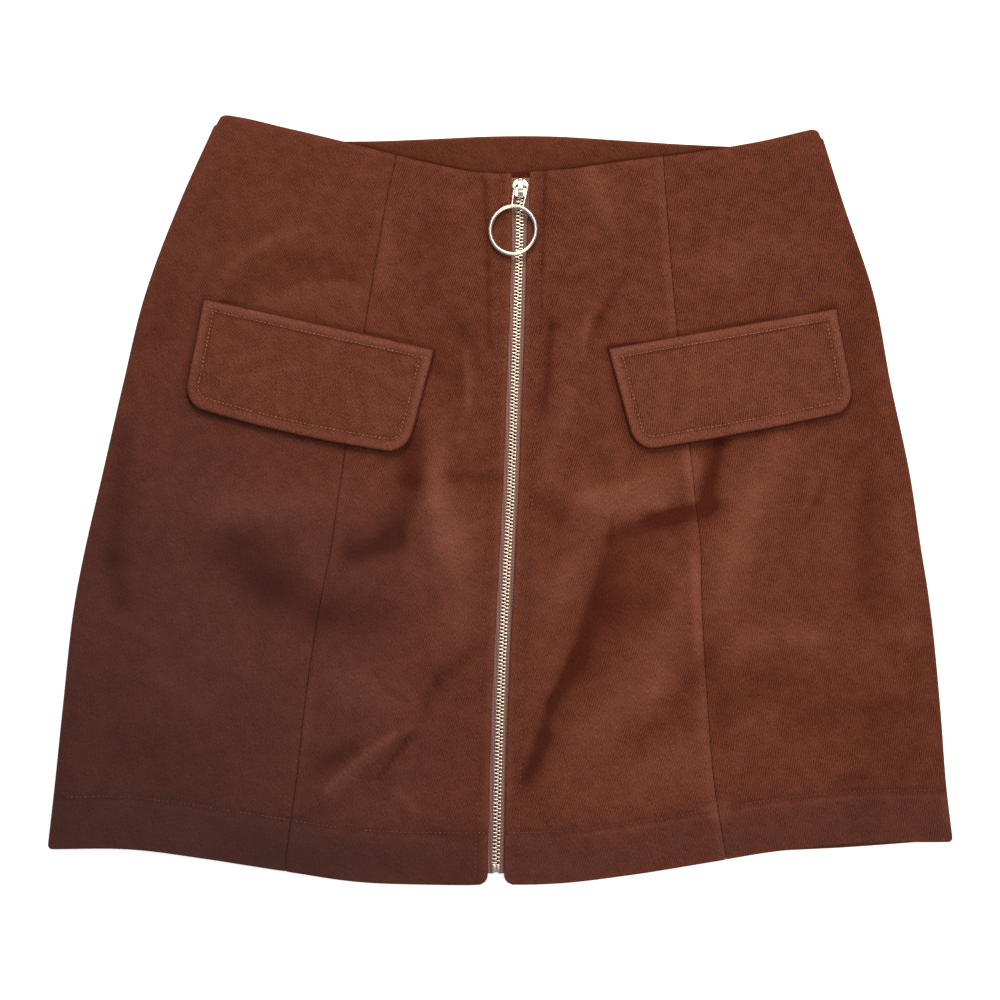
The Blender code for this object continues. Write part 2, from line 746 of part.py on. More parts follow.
def main():
    """Clears the scene and models the skirt."""
    for obj in list(bpy.data.objects):
        bpy.data.objects.remove(obj, do_unlink=True)
    finish = {name: make_finish(name) for name in FINISHES}
    make_back(finish["brushed_twill"])
    make_facing(finish["facing_twill"])
    for hand, sign in (("left", -1.0), ("right", 1.0)):
        make_front_side(hand, finish["brushed_twill"])
        make_front_centre(hand, finish["brushed_twill"])
        make_flap(hand, finish["brushed_twill"])
        make_strip(
            "zip_tape_" + hand, CHAIN_HALF + SEAM_GAP, TAPE_HALF, TAPE, ZIP_BOTTOM, ZIP_TOP,
            sign, finish["zip_tape"],
        )
        make_strip(
            "zip_chain_" + hand, SEAM_GAP / 2, CHAIN_HALF, CHAIN_DEEP,
            ZIP_BOTTOM + STOP_LENGTH + 1.0, CHAIN_TOP, sign, finish["nickel"],
        )
    make_stop(finish["nickel"])
    make_slider(finish["nickel"])
    make_ring(finish["nickel"])


main()
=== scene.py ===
"""A brushed-twill zip-front mini skirt, laid flat with its front up: its cloth, sewing and zip.

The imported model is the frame, and every piece here stands for one of its nodes, in the same form or
a finer one. Sizes are in millimetres, and a mesh is made in metres. Left and right are as the front
is seen, the waist is towards +Y, and the skirt lies on z = 0.
"""

import logging
from dataclasses import dataclass, field
from enum import Enum
from functools import partial
from math import cos, pi, radians, sin
from typing import Callable, NamedTuple

import bmesh
import bpy
import numpy as np
from bpy.types import Material, Mesh, Node, NodeSocket, NodeTree, Object
from mathutils import Matrix, Vector, kdtree


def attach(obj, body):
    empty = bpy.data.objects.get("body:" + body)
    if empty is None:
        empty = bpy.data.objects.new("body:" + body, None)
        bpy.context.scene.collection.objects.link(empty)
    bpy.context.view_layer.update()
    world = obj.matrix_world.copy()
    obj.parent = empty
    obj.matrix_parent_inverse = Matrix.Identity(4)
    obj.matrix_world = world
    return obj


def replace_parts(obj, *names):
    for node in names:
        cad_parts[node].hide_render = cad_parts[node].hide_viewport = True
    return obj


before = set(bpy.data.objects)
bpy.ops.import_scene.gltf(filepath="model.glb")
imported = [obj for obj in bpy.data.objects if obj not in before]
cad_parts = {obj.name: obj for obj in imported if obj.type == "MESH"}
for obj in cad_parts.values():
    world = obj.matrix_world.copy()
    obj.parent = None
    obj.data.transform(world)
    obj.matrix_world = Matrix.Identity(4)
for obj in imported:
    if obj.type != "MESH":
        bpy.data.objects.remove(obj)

MM = 0.001
SKIRT, PULL = "skirt", "pull"
log = logging.getLogger("zip_front_skirt")

Net = np.ndarray
Rule = Callable[[Net], Net]
Point = tuple[float, float]
Place = tuple[float, float, float]


class Hand(Enum):
    """A side of the skirt, as its front is seen."""

    LEFT = "left"
    RIGHT = "right"

    @property
    def sign(self) -> float:
        """-1 on the left and 1 on the right."""
        return -1.0 if self is Hand.LEFT else 1.0


class Ends(Enum):
    """How cloth ends, with the distances from its end of its closest rows of points."""

    FOLDED = (0.0, 0.1, 0.3, 0.6, 1.0, 1.6)
    SEWN = (0.0, 0.3, 0.7, 1.2, 2.0)
    PLAIN = (0.0, 0.6)


# ---- The skirt's form ----


class Level(NamedTuple):
    """Where the skirt's long lines cross one level, y."""

    y: float
    side_left: float
    seam_left: float
    zip: float
    seam_right: float
    side_right: float


LEVELS = (
    Level(-204.2, -249.2, -117.6, -2.4, 124.0, 249.7),
    Level(-164.2, -246.0, -112.8, -1.5, 118.0, 246.2),
    Level(-124.2, -243.2, -108.9, -0.3, 115.4, 244.5),
    Level(-59.2, -237.7, -100.0, 2.8, 112.7, 239.9),
    Level(-33.2, -233.4, -95.2, 4.2, 112.6, 236.6),
    Level(5.8, -225.6, -90.0, 6.2, 109.0, 232.1),
    Level(60.8, -214.8, -82.2, 8.2, 103.6, 222.4),
    Level(110.8, -204.2, -74.7, 10.1, 99.6, 214.6),
    Level(165.8, -185.6, -65.8, 11.5, 95.9, 198.4),
    Level(216.8, -164.6, -55.0, 12.2, 93.0, 184.2),
)


class Edge(NamedTuple):
    """How high the waist and hem edges lie at one place across the skirt, x."""

    x: float
    hem: float
    back_hem: float
    waist: float
    back_waist: float


EDGES = (
    Edge(-250, -198.7, -194.7, 224.8, 218.8),
    Edge(-200, -199.2, -196.2, 220.1, 216.8),
    Edge(-160, -204.3, -200.7, 218.3, 212.8),
    Edge(-120, -210.3, -206.7, 209.4, 204.8),
    Edge(-80, -216.1, -210.2, 199.4, 203.9),
    Edge(-40, -217.8, -210.8, 189.2, 205.3),
    Edge(-4, -217.6, -209.6, 182.7, 206.9),
    Edge(30, -217.2, -209.8, 184.6, 206.9),
    Edge(70, -212.8, -207.8, 190.4, 204.5),
    Edge(110, -206.6, -204.0, 195.4, 201.9),
    Edge(150, -200.1, -200.5, 202.2, 200.8),
    Edge(190, -196.0, -198.4, 211.4, 205.8),
    Edge(250, -194.8, -194.0, 216.8, 210.8),
)


class Stroke(NamedTuple):
    """A soft band along a run that bows to its left: a crease, or nap that is brushed one way.

    amount is a ridge's height, negative for a trough, or how bright the nap lies. steep is the
    band's width on the right of the run, as a share of its width on the left.
    """

    x0: float
    y0: float
    x1: float
    y1: float
    width: float
    amount: float
    bow: float = 0.0
    steep: float = 1.0


def strokes(*rows: tuple[float, ...]) -> tuple[Stroke, ...]:
    """A table of strokes, whose rows give a stroke's values in their order."""
    return tuple(Stroke(*row) for row in rows)


FOLDS = strokes(
    # the long diagonal trough to the right of the zip, and the swell beside it
    (84, -51.2, 50, -96.2, 16, -1.3), (50, -96.2, 26, -159.2, 14, -1.2),
    (96, -91.2, 62, -149.2, 20, 1.1),
    # the break below the right flap
    (62, -21.2, 116, -8.2, 11, -1.3), (54, -2.2, 112, 8.8, 10, 1.4), (121, 18.8, 127, -17.2, 9, -1),
    (150, -29.2, 190, -59.2, 26, 1),
    # left of the zip
    (-46, 24.8, -56, -13.2, 12, -1.2), (-56, -13.2, -84, -43.2, 14, -1.2),
    (-38, 2.8, -34, -47.2, 12, 1.6), (-150, -47.2, -96, -65.2, 20, -1.2),
    (-190, -19.2, -120, -13.2, 22, 1),
    # lower left
    (-96, -175.2, -50, -133.2, 12, 1.8), (-72, -185.2, -34, -149.2, 12, -1),
    (-170, -149.2, -130, -109.2, 24, 0.9),
    # above the flaps
    (-38, 74.8, -28, 40.8, 9, -1), (52, 120.8, 44, 60.8, 13, 1), (150, 150.8, 130, 120.8, 24, 0.8),
    (-130, 160.8, -110, 125.8, 24, 0.8),
)

FINE_CREASES = strokes(
    # the long trough right of the zip, with its swells
    (58, -44, 40, -96, 10, -1.3, 0, 0.4), (40, -96, 15, -161, 7, -1.6, -2, 0.5),
    (33, -54, 22, -104, 9, 0.9), (80, -84, 47, -136, 13, 1, 4, 0.8),
    # under the right flap
    (50, -5, 90, -1, 7, 1.3, 2), (62, -24, 118, -9, 5, -1.7, -1, 1.6), (123, 27, 116, -9, 4, -2, 0, 1.2),
    (156, 26, 124, -62, 10, 0.8, -5), (132, 12, 128, -8, 5, 0.7),
    # left of the zip, below the left flap
    (-50, 23, -60, -24, 7, -1.5, 4, 1.2), (-60, -24, -86, -39, 7, -1.4, 3), (-36, 18, -35, -36, 6, 1.2),
    (-162, -14, -60, -9, 10, 0.9, 3), (-160, -38, -56, -71, 12, -0.9, -6),
    # small creases that run up to the zip
    (-31, -3, -17, 7, 2.6, -0.7, 3), (-17, 7, -3, 4, 2.4, -0.6, 1), (13, 2, 35, -16, 2.8, -0.8, 3, 1.2),
    (20, 5, 40, -9, 4, 0.5, 3), (-20, 96, -22, 33, 2.6, -0.9, -2, 1.4), (-14, 92, -15, 30, 3.4, 0.5, -1),
    (-8.2, 178, -8.1, 8, 1.6, -0.6, 0, 1.2), (-36, 86, -33, 52, 6, -0.9),
    (29, 96, 23, 47, 3.4, -1, 2, 1.2), (43, 88, 33, 38, 7, 0.8, -2), (69, 117, 54, 89, 2.6, -0.7),
    (60, 116, 47, 86, 5, 0.5), (36, 50, 25, 27, 3.4, -0.6, 1), (52, 186, 57, 166, 7, 0.5),
    # lower left
    (-94, -170, -52, -134, 3.6, 1.5), (-106, -148, -85, -154, 6, -0.7), (-76, -161, -54, -141, 5, -0.9),
    (-41, -116, -15, -88, 8, -0.8),
    # towards the sides, and over the left flap
    (206, 4, 212, -60, 15, -0.9), (188, 6, 193, -42, 12, 0.7), (-213, 8, -212, -64, 11, -0.9),
    (-154, 133, -92, 137, 5, 0.5, 8), (-147, 126, -97, 129, 5, -0.4, 4),
    (-115, 116, -85, 116, 4, 0.4, 1),
    # soft unevenness elsewhere
    (-200, -80, -150, -95, 14, 0.6), (-214, -150, -160, -168, 14, -0.6, 3),
    (150, -110, 205, -128, 16, -0.7, -3), (140, -80, 200, -92, 13, 0.6, 3),
    (60, -176, 110, -150, 12, 0.5), (130, 175, 180, 168, 12, -0.4, 3),
    (-160, 178, -110, 182, 12, -0.4, -2),
)

# Painted shade and painted highlight on the front, in bands along its creases, seams and edges, where
# the light's shade and highlights fall
PAINTED_SHADE_AND_HIGHLIGHT = strokes(
    # the break under the right flap
    (124, 26, 116, -10, 4.5, -1, 0, 0.7), (117, 24, 114, -7, 2.2, -0.4),
    (121, -8, 87, -14, 6.5, -0.7, 0, 0.35), (107, -11, 60, -25, 14, -0.48, 0, 0.18),
    (87, -17, 101, -16, 5.1, -0.3), (65, -11, 61, -32, 1.4, -0.4),
    # the wedge to the left of it
    (56, -49, 41, -94, 18, -0.55, 0, 0.13), (40, -94, 28, -118, 6.7, -0.65, 0, 0.25),
    (49, -79, 46, -96, 3.9, -0.25), (28, -118, 23, -139, 4.5, -0.5, 0, 0.5),
    (25, -139, 15, -160, 5.1, -0.8), (61, -67, 89, -61, 12, -0.4), (69, -78, 81, -69, 9, -0.2),
    (113, -99, 77, -144, 6.2, -0.25), (22, -7, 35, -17, 5.1, -0.4), (48, 29, 60, 7, 6.7, -0.25),
    # left of the zip
    (-46, 33, -48, 4, 4, -0.55, 0, 2.6), (-48, 4, -58, -26, 5, -0.5, 0, 2.4),
    (-58, -32, -83, -36, 6, -0.8, 0, 1.6), (-150, -38, -130, -55, 16, -0.5),
    (-130, -54, -104, -72, 15, -0.45), (-149, -29, -119, -29, 6.7, -0.3), (-96, -71, -75, -74, 12, -0.5),
    (-212, 33, -217, -40, 6, -0.45), (-217, -40, -212, -64, 6, -0.4), (-29, 7, 3, 5, 3.9, -0.4),
    (-14, -90, -35, -107, 4.5, -0.45), (-35, -107, -43, -126, 3.9, -0.35),
    (-70, -102, -51, -118, 1.7, -0.3, -2.2), (-100, -155, -82, -144, 5.1, -0.65),
    (-67, -161, -48, -136, 1.7, -0.85, 0, 0.5), (-242, -167, -237, -118, 3.9, -0.2),
    # painted shade at the hem, towards the ground
    (-143, -199, -110, -203, 9, -0.25), (-110, -181, -98, -179, 3.9, -0.35),
    (-39, -189, -13, -193, 2.8, -0.45), (-211, -118, -137, -188, 33.7, -0.1),
    (-96, -203, -22, -208, 9, -0.3), (118, -181, 123, -183, 2.4, 0.5), (44, -158, 104, -152, 16, 0.25),
    # upper left
    (-152, 115, -115, 130, 7.9, -0.22), (-115, 130, -89, 127, 7.9, -0.22),
    (-133, 111, -103, 121, 1.4, -0.3, 1.7), (-103, 121, -75, 119, 1.4, -0.3, 1.7),
    (-86, 121, -52, 85, 1.4, -0.35, 4.5), (-40, 158, -40, 111, 7.9, -0.25),
    (-9, 180, -7, 130, 1.7, -0.5), (-7, 130, -6, 82, 1.7, -0.5), (-28, 101, -17, 84, 3.4, -0.35),
    (-15, 95, -12, 60, 2.2, -0.3), (-38, 70, -25, 64, 4.5, -0.35), (-189, 117, -194, 88, 7.9, -0.25),
    # upper right
    (26, 184, 24, 130, 1.4, -0.65), (24, 130, 23, 91, 1.7, -0.4), (29, 95, 25, 44, 3.4, -0.6),
    (29, 93, 35, 93, 1.7, -0.4), (71, 121, 57, 99, 2.8, -0.4), (57, 99, 51, 84, 2.8, -0.35),
    (29, 123, 56, 120, 4.5, -0.2), (115, 179, 115, 146, 11.2, -0.12), (204, 135, 207, 100, 5.6, -0.3),
    (198, 91, 208, 44, 7.9, -0.35),
    # right side
    (184, 6, 178, -7, 2, -0.35), (178, -7, 172, -19, 2, -0.3), (170, 5, 168, -11, 2.2, -0.2),
    (196, 18, 208, 23, 3.9, -0.35), (208, -1, 205, -63, 8.4, -0.35), (179, -50, 197, -66, 1.1, -0.25),
    (221, -89, 233, -102, 7.9, -0.2), (206, -122, 228, -121, 6.2, -0.35),
    (166, -127, 182, -127, 7.9, -0.2), (210, -137, 223, -153, 13.5, -0.2),
    (234, -134, 222, -157, 2.8, -0.25), (157, -102, 120, -127, 6.7, -0.22),
    (123, -114, 122, -140, 6.2, -0.28), (116, -89, 120, -106, 4.5, -0.35),
    (186, -160, 201, -160, 2.8, -0.4), (199, -169, 201, -187, 7.9, -0.2),
    # painted highlights on crests and swells
    (50, -7, 89, -9, 7.3, 0.7), (79, -1, 115, 12, 10.1, 0.25), (71, 2, 64, -13, 1.1, 0.5),
    (109, -40, 110, -91, 2.8, 0.5), (107, 21, 109, -7, 3.9, 0.35), (103, -51, 86, -110, 8.4, 0.35),
    (86, -110, 50, -135, 11.2, 0.25), (63, -16, 32, -58, 9.6, 0.35), (28, 25, 27, 5, 4.5, 0.25),
    (-37, 32, -39, -7, 8, 0.35), (-34, -7, -28, -32, 11, 0.5), (-24, -29, -22, -84, 13, 0.4),
    (-48, -42, -48, -69, 6.7, 0.2), (-96, -167, -58, -136, 1.4, 0.85, 1.7),
    (-56, -168, -47, -177, 2.8, 0.45), (-81, -112, -58, -115, 12, 0.35), (-155, -11, -113, -11, 9, 0.25),
    (-107, -32, -102, -53, 5.1, 0.25), (-189, -104, -166, -119, 7.9, 0.25),
    (-107, -115, -109, -150, 3.4, 0.3), (-157, 125, -134, 142, 2.8, 0.35, 1.1),
    (-134, 142, -111, 150, 2.8, 0.35, 1.1), (-133, 106, -80, 113, 7.3, 0.28, 2.2),
    (-65, 161, -67, 117, 5.1, 0.25), (-20, 79, -18, 49, 2.2, 0.4), (-19, 49, -22, 28, 2.8, 0.3),
    (52, 182, 61, 160, 6.7, 0.35), (50, 99, 47, 76, 2.2, 0.35), (40, 53, 34, 36, 4.5, 0.3),
    (121, 129, 135, 127, 7.3, 0.35), (135, 140, 175, 140, 7.9, 0.18), (163, 23, 143, -4, 10, 0.25),
    (143, -4, 133, -36, 10, 0.35), (133, -36, 124, -65, 10, 0.25), (134, -88, 146, -85, 6.7, 0.35),
    (165, -82, 176, -83, 6.2, 0.35), (220, -81, 227, -81, 3.9, 0.3), (225, -7, 230, -85, 5.1, 0.2),
    (135, -131, 150, -129, 6.2, 0.2), (113, -118, 111, -137, 3.4, 0.3), (113, -177, 125, -176, 2.4, 0.8),
    (179, -48, 195, -63, 1.1, 0.25), (244, -172, 246, -184, 2.2, 0.5),
    # painted shadow lines along the flaps' upper edges, and softer painted shade beside their other
    # edges
    (-170, 110, -37, 80.3, 0.9, -1.2), (61, 80.8, 192, 104.2, 0.9, -1.2),
    (-180, 45, -54, 16.6, 4, -0.15), (78, 18, 200, 41.6, 4, -0.15), (-172, 106, -182, 52, 2.2, -0.3),
    (60, 78, 74, 24, 1.8, -0.5),
)


def smooth_curve(at: Net, knots: list[float], values: list[float]) -> Net:
    """Reads a smooth curve through a few knots, with slopes taken from each knot's neighbours.

    Args:
        at: where to read it.
        knots: the places of its knots, in rising order.
        values: its values at the knots.

    Returns:
        The curve's values.
    """
    knots, values = np.asarray(knots, float), np.asarray(values, float)
    slopes = np.gradient(values, knots)
    at = np.clip(at, knots[0], knots[-1])
    i = np.clip(np.searchsorted(knots, at) - 1, 0, len(knots) - 2)
    step, rise = knots[i + 1] - knots[i], values[i + 1] - values[i]
    t = (at - knots[i]) / step
    bend = (slopes[i] * step - rise) * (1 - t) - (slopes[i + 1] * step - rise) * t
    return values[i] + rise * t + bend * t * (1 - t)


def ramp(value: Net, start: float, end: float) -> Net:
    """Rises smoothly from 0 at start to 1 at end."""
    t = np.clip((value - start) / (end - start), 0.0, 1.0)
    return t * t * (3 - 2 * t)


def bell(distance: Net, width: float) -> Net:
    """A soft bump: 1 at no distance, and next to nothing at twice the width."""
    return np.exp(-((distance / width) ** 2))


def bumps(*rows: tuple) -> Net:
    """Adds up soft bumps, each given as its height, the distance from it and its width."""
    return sum(height * bell(distance, width) for height, distance, width in rows)


def corner_cut(distance: Net, radius: float) -> Net:
    """How far a rounded corner draws an edge back, at a distance from the line it turns into."""
    short = np.clip(radius - distance, 0.0, radius)
    return radius - np.sqrt(radius**2 - short**2)


def lay_strokes(table: tuple[Stroke, ...], x: Net, y: Net) -> Net:
    """Adds up a table of strokes.

    Args:
        table: the strokes.
        x: across the skirt.
        y: up the skirt.

    Returns:
        The sum of their amounts at each point.
    """
    total = np.zeros_like(x + y)
    for x0, y0, x1, y1, width, amount, bow, steep in table:
        length = np.hypot(x1 - x0, y1 - y0)
        share = ((x - x0) * (x1 - x0) + (y - y0) * (y1 - y0)) / length**2
        inside = np.clip(share, 0.0, 1.0)
        across = ((y - y0) * (x1 - x0) - (x - x0) * (y1 - y0)) / length
        across = across - bow * 4 * inside * (1 - inside)
        widths = np.where(across > 0, width, width * steep)
        total += amount * bell(np.hypot(across / widths, (share - inside) * length / width), 1.0)
    return total


@dataclass(frozen=True)
class ZipSizes:
    """A light metal zip: where it lies, its tapes, its chain and the parts of its slider."""

    opening_half: float = 4.4
    opening_at_slider: float = 5.3
    tape: float = 1.0
    tape_half: float = 12.5
    chain_half: float = 2.2
    chain_deep: float = 2.0
    top: float = 180.3
    bottom: float = -211.9
    chain_top: float = 171.3
    stop_length: float = 4.6
    climb: Point = (150.8, 167.3)
    hem_climb: Point = (-177.2, -151.2)
    plate: float = 0.8
    cover: float = 1.1
    head_width: float = 9.2
    length: float = 11.4
    middle_y: float = 173.4
    bar_clear: float = 0.45

    def opening(self, y: Net) -> Net:
        """Half the width between the front's folded edges, which part for the slider."""
        return self.opening_half + (self.opening_at_slider - self.opening_half) * ramp(y, *self.climb)


@dataclass
class SkirtForm:
    """The skirt's lines and edges, and the height of the cloth that lies on top."""

    cloth: float = 1.2
    turned: float = 2.0
    gap: float = 0.3
    loft: float = 1.8
    deepest_fold: float = 1.4
    highest_fold: float = 2.3
    side_roll: float = 2.6
    side_round: float = 24.0
    hem_depth: float = 29.0
    waist_turning: float = 34.0
    turning_fade: float = 8.0
    stitched_half: dict = field(default_factory=lambda: {Hand.LEFT: 11.2, Hand.RIGHT: 12.4})
    hem_stitch: float = 28.0
    facing_cloth: float = 1.0
    facing_depth: float = 38.0
    hem_corner: float = 3.0
    waist_corner: float = 6.5
    zip_corner: float = 5.5
    sizes: ZipSizes = field(default_factory=ZipSizes)

    def line(self, name: str) -> Rule:
        """The long line of this name, as a rule that gives x at y."""
        ys, xs = [level.y for level in LEVELS], [getattr(level, name) for level in LEVELS]
        return lambda y: smooth_curve(y, ys, xs)

    def edge(self, name: str) -> Rule:
        """The waist or hem edge of this name, as a rule that gives y at x."""
        xs, ys = [row.x for row in EDGES], [getattr(row, name) for row in EDGES]
        return lambda x: smooth_curve(x, xs, ys)

    def above(self, name: str, x: Net, y: Net) -> Net:
        """How far a point lies above the edge of this name."""
        return y - self.edge(name)(x)

    def zip_offset(self, x: Net, y: Net) -> Net:
        """How far a point lies to the right of the zip's middle."""
        return x - self.line("zip")(y)

    def past_seam(self, hand: Hand, x: Net, y: Net) -> Net:
        """How far a point lies outside this hand's princess seam."""
        return hand.sign * (x - self.line("seam_" + hand.value)(y))

    def from_side(self, x: Net, y: Net) -> Net:
        """How far a point lies inside the nearer side edge."""
        return np.minimum(x - self.line("side_left")(y), self.line("side_right")(y) - x)

    def trimmed_edge(self, name: str) -> Rule:
        """An edge with its corners at the sides rounded, and a front hem's at the zip too."""
        plain = self.edge(name)
        down, radius = (-1.0, self.waist_corner) if "waist" in name else (1.0, self.hem_corner)

        def height(x: Net) -> Net:
            """The edge's y at x."""
            y = plain(x)
            cut = corner_cut(self.from_side(x, y), radius)
            if name == "hem":
                beside = abs(self.zip_offset(x, y)) - self.sizes.opening(y)
                cut = cut + corner_cut(beside, self.zip_corner)
            return y + down * cut

        return height

    def zip_level(self, y: Net) -> Net:
        """The height of the zip tape's underside, over the back's hem and the slider's plate."""
        over_slider = self.facing_cloth + 2 * self.gap + self.sizes.plate
        at_hem = 1 - ramp(y, *self.sizes.hem_climb)
        level = self.cloth + self.gap + (self.turned - self.cloth) * at_hem
        return level + over_slider * ramp(y, *self.sizes.climb)

    def front_thickness(self, x: Net, y: Net) -> Net:
        """The front wall's thickness: two layers where the cloth is turned under."""
        turned, fade = self.cloth, self.turning_fade
        for inside, depth, wide in (
            (self.above("hem", x, y), self.hem_depth, fade),
            (-self.above("waist", x, y), self.waist_turning, fade),
            (abs(self.zip_offset(x, y)), self.sizes.tape_half, fade / 2),
        ):
            layer = (self.turned - self.cloth) * (1 - ramp(inside, depth, depth + wide))
            turned = np.maximum(turned, self.cloth + layer)
        return turned

    def plain_height(self, x: Net, y: Net) -> tuple[Net, Net]:
        """The front's outer surface with its large folds.

        Args:
            x: across the skirt.
            y: up the skirt.

        Returns:
            Its height, and how free the cloth is to fold there, from 0 to 1.
        """
        height, free = 2 * self.cloth + self.loft, 1.0
        below, beside = self.facing_depth + 4, self.sizes.tape_half + 2
        for level, hold, away, near, wide in (
            (2 * self.turned + 0.9, 0.8, self.above("hem", x, y), self.hem_depth + 3, 27),
            (
                self.cloth + self.facing_cloth + self.turned + 1.1, 1,
                -self.above("back_waist", x, y), below, 26,
            ),
            (
                self.zip_level(y) + self.sizes.tape + self.gap + self.turned, 1,
                abs(self.zip_offset(x, y)), beside, 20,
            ),
            (2 * self.side_roll, 1, self.from_side(x, y), self.side_roll, self.side_round),
        ):
            held = 1 - ramp(away, near, near + wide)
            height = height + (level - height) * held
            free = free * (1 - hold * held)
        folds = lay_strokes(FOLDS, x, y)
        limit = np.where(folds < 0, self.deepest_fold, self.highest_fold)
        return height + limit * np.tanh(folds / limit) * free, free

    def lowest(self, x: Net, y: Net) -> Net:
        """How low the front's outer surface can lie on what is under it."""
        in_hem = 1 - ramp(self.above("back_hem", x, y), self.hem_depth, self.hem_depth + 5)
        depth = self.facing_depth
        facing = ramp(self.above("back_waist", x, y), -depth - 3, -depth)
        under = self.cloth + (self.turned - self.cloth) * in_hem
        under = under + (self.gap + self.facing_cloth) * facing
        tape = 1 - ramp(abs(self.zip_offset(x, y)), 12.6, 14.6)
        on_tape = self.zip_level(y) + self.sizes.tape
        return np.maximum(under, under + (on_tape - under) * tape) + 0.25

    def seam_relief(self, x: Net, y: Net) -> Net:
        """The princess seams: each a sharp valley with its pressed allowance towards the zip."""
        total = 0.0
        for hand, press in ((Hand.LEFT, 0.22), (Hand.RIGHT, 0.42)):
            out = self.past_seam(hand, x, y)
            allowance = ramp(out, -9.0, -6.0) * (1 - ramp(out, -1.6, -0.2))
            total = total + bumps((-0.3, out, 0.8), (-0.22, out, 3.0)) + press * allowance
        return total

    def stitch_relief(self, x: Net, y: Net) -> Net:
        """The grooves that the stitching pulls in beside the zip and above the hem."""
        total = 0.0
        for hand in Hand:
            out = self.zip_offset(x, y) * hand.sign - self.stitched_half[hand]
            pull = 0.34 + 0.08 * np.sin(y * 0.61 + hand.sign) * np.sin(y * 0.173)
            total = total + bumps((-pull, out, 1.1), (0.16, out + 4.0, 2.6))
        up = self.above("hem", x, y)
        pucker = 0.30 + 0.10 * np.sin(x * 0.47) * np.sin(x * 0.131 + 1.0)
        ripple = np.sin(x * 0.38 + 0.02 * up) * np.sin(x * 0.083 + 0.6)
        up = up - self.hem_stitch
        return total + bumps((-pucker, up, 1.3), (0.12, up + 5.0, 3.0), (0.13 * ripple, up, 11.0))

    def drape(self, x: Net, y: Net) -> Net:
        """The slight unevenness of handled cloth."""
        wave = np.sin(x * 0.083 + y * 0.031) * np.sin(y * 0.071 - x * 0.022 + 0.7)
        small = np.sin(x * 0.191 - y * 0.104 + 1.3) * np.sin(y * 0.163 + x * 0.058)
        return 0.16 * wave + 0.07 * small

    def front_height(self, x: Net, y: Net) -> Net:
        """The front's outer surface, with creases, seams and stitching, over what it lies on."""
        height, free = self.plain_height(x, y)
        side = ramp(self.from_side(x, y), self.side_roll, self.side_roll + 12)
        loose = np.maximum(free, 0.45 * side)
        relief = self.drape(x, y) + self.seam_relief(x, y) + self.stitch_relief(x, y)
        height = height + lay_strokes(FINE_CREASES, x, y) * loose + relief * side
        lowest, soft = self.lowest(x, y) + self.front_thickness(x, y), 0.12
        return lowest + soft * np.logaddexp(0.0, (height - lowest) / soft)

    def shade_and_wear(self, x: Net, y: Net) -> Net:
        """Painted light and wear on the nap: painted highlight and nap rubbed light at folded edges up
        to 1, and painted shade in creases, grooves and shadows down to -1.
        """
        # painted shade and painted highlight from the table, with more painted shade in the creases'
        # troughs and painted highlight on their crests
        total = lay_strokes(PAINTED_SHADE_AND_HIGHLIGHT, x, y) + 0.18 * np.clip(lay_strokes(FINE_CREASES, x, y), -1.5, 1.5)
        for hand in Hand:
            seam, beside = self.past_seam(hand, x, y), self.zip_offset(x, y) * hand.sign
            # painted shade in each seam's valley and in the zip stitching's grooves, a painted highlight
            # on the pressed allowance, and a lighter folded edge at the opening, partly rubbed nap and
            # partly painted highlight
            pressed, sunk = (0.5, 0.22) if hand is Hand.RIGHT else (0.12, 0.3)
            total = total + bumps(
                (-sunk, seam - 0.3, 0.6), (pressed, seam + 0.8, 0.6), (0.7 * pressed, seam + 2.8, 2.0),
                (-0.25, beside - self.stitched_half[hand], 0.9),
                (0.3, beside - self.sizes.opening(y) - 1.2, 1.4),
            )
        up, down, east = self.above("hem", x, y), -self.above("waist", x, y), ramp(x, 0.0, 70.0)
        # a painted shadow line where the front's waist edge lies lower than the back's, over the facing
        shadow_over_facing = ramp(self.edge("back_waist")(x) - self.edge("waist")(x), 0.0, 3.0)
        stitch = up - self.hem_stitch
        # painted shade in the hem stitching's groove, with a painted highlight beside it, both stronger
        # to the right, and lighter folded edges at the hem, waist and sides, partly rubbed nap and
        # partly painted highlight
        return total + bumps(
            (-0.35 - 0.3 * east, stitch, 1.2), (0.2 * east, stitch + 2.6, 1.4), (0.2, up, 1.6),
            (0.25, down - 2.2, 1.3), (-1.2 * shadow_over_facing, down, 0.55),
            (0.15, self.from_side(x, y), 2.6),
        )

    def shade_and_faint_ribs(self, x: Net, y: Net) -> Net:
        """Painted shade, greyer and darker to 1 towards the lower left and at the hem, where the ribs
        are also drawn fainter; below 0 the ribs are drawn crisp.
        """
        west, low = ramp(-x, -80.0, 190.0), ramp(-y, -60.0, 150.0)
        in_hem = 1 - ramp(self.above("hem", x, y), self.hem_stitch - 12, self.hem_stitch + 10)
        soft = 0.25 * ramp(-y, -50.0, 50.0) - 0.3 * ramp(y, 20.0, 130.0) * (1 - 0.6 * west)
        # the grey painted shade towards the lower left and in the hem
        grey_shade = west * (0.45 + 0.08 * low) + in_hem * (0.28 + 0.1 * west)
        return np.minimum(soft + grey_shade, 1.0)


# ---- Finishes ----


def linear(colour: str) -> tuple[float, float, float, float]:
    """Turns an sRGB hex colour, such as #6A3929, into linear RGBA."""
    parts = [int(colour[i : i + 2], 16) / 255 for i in (1, 3, 5)]
    return (*(p / 12.92 if p <= 0.04045 else ((p + 0.055) / 1.055) ** 2.4 for p in parts), 1.0)


def band_scale(pitch: float) -> float:
    """The Wave texture scale that gives one band for each pitch, in millimetres."""
    return pi / 10 / (pitch * MM)


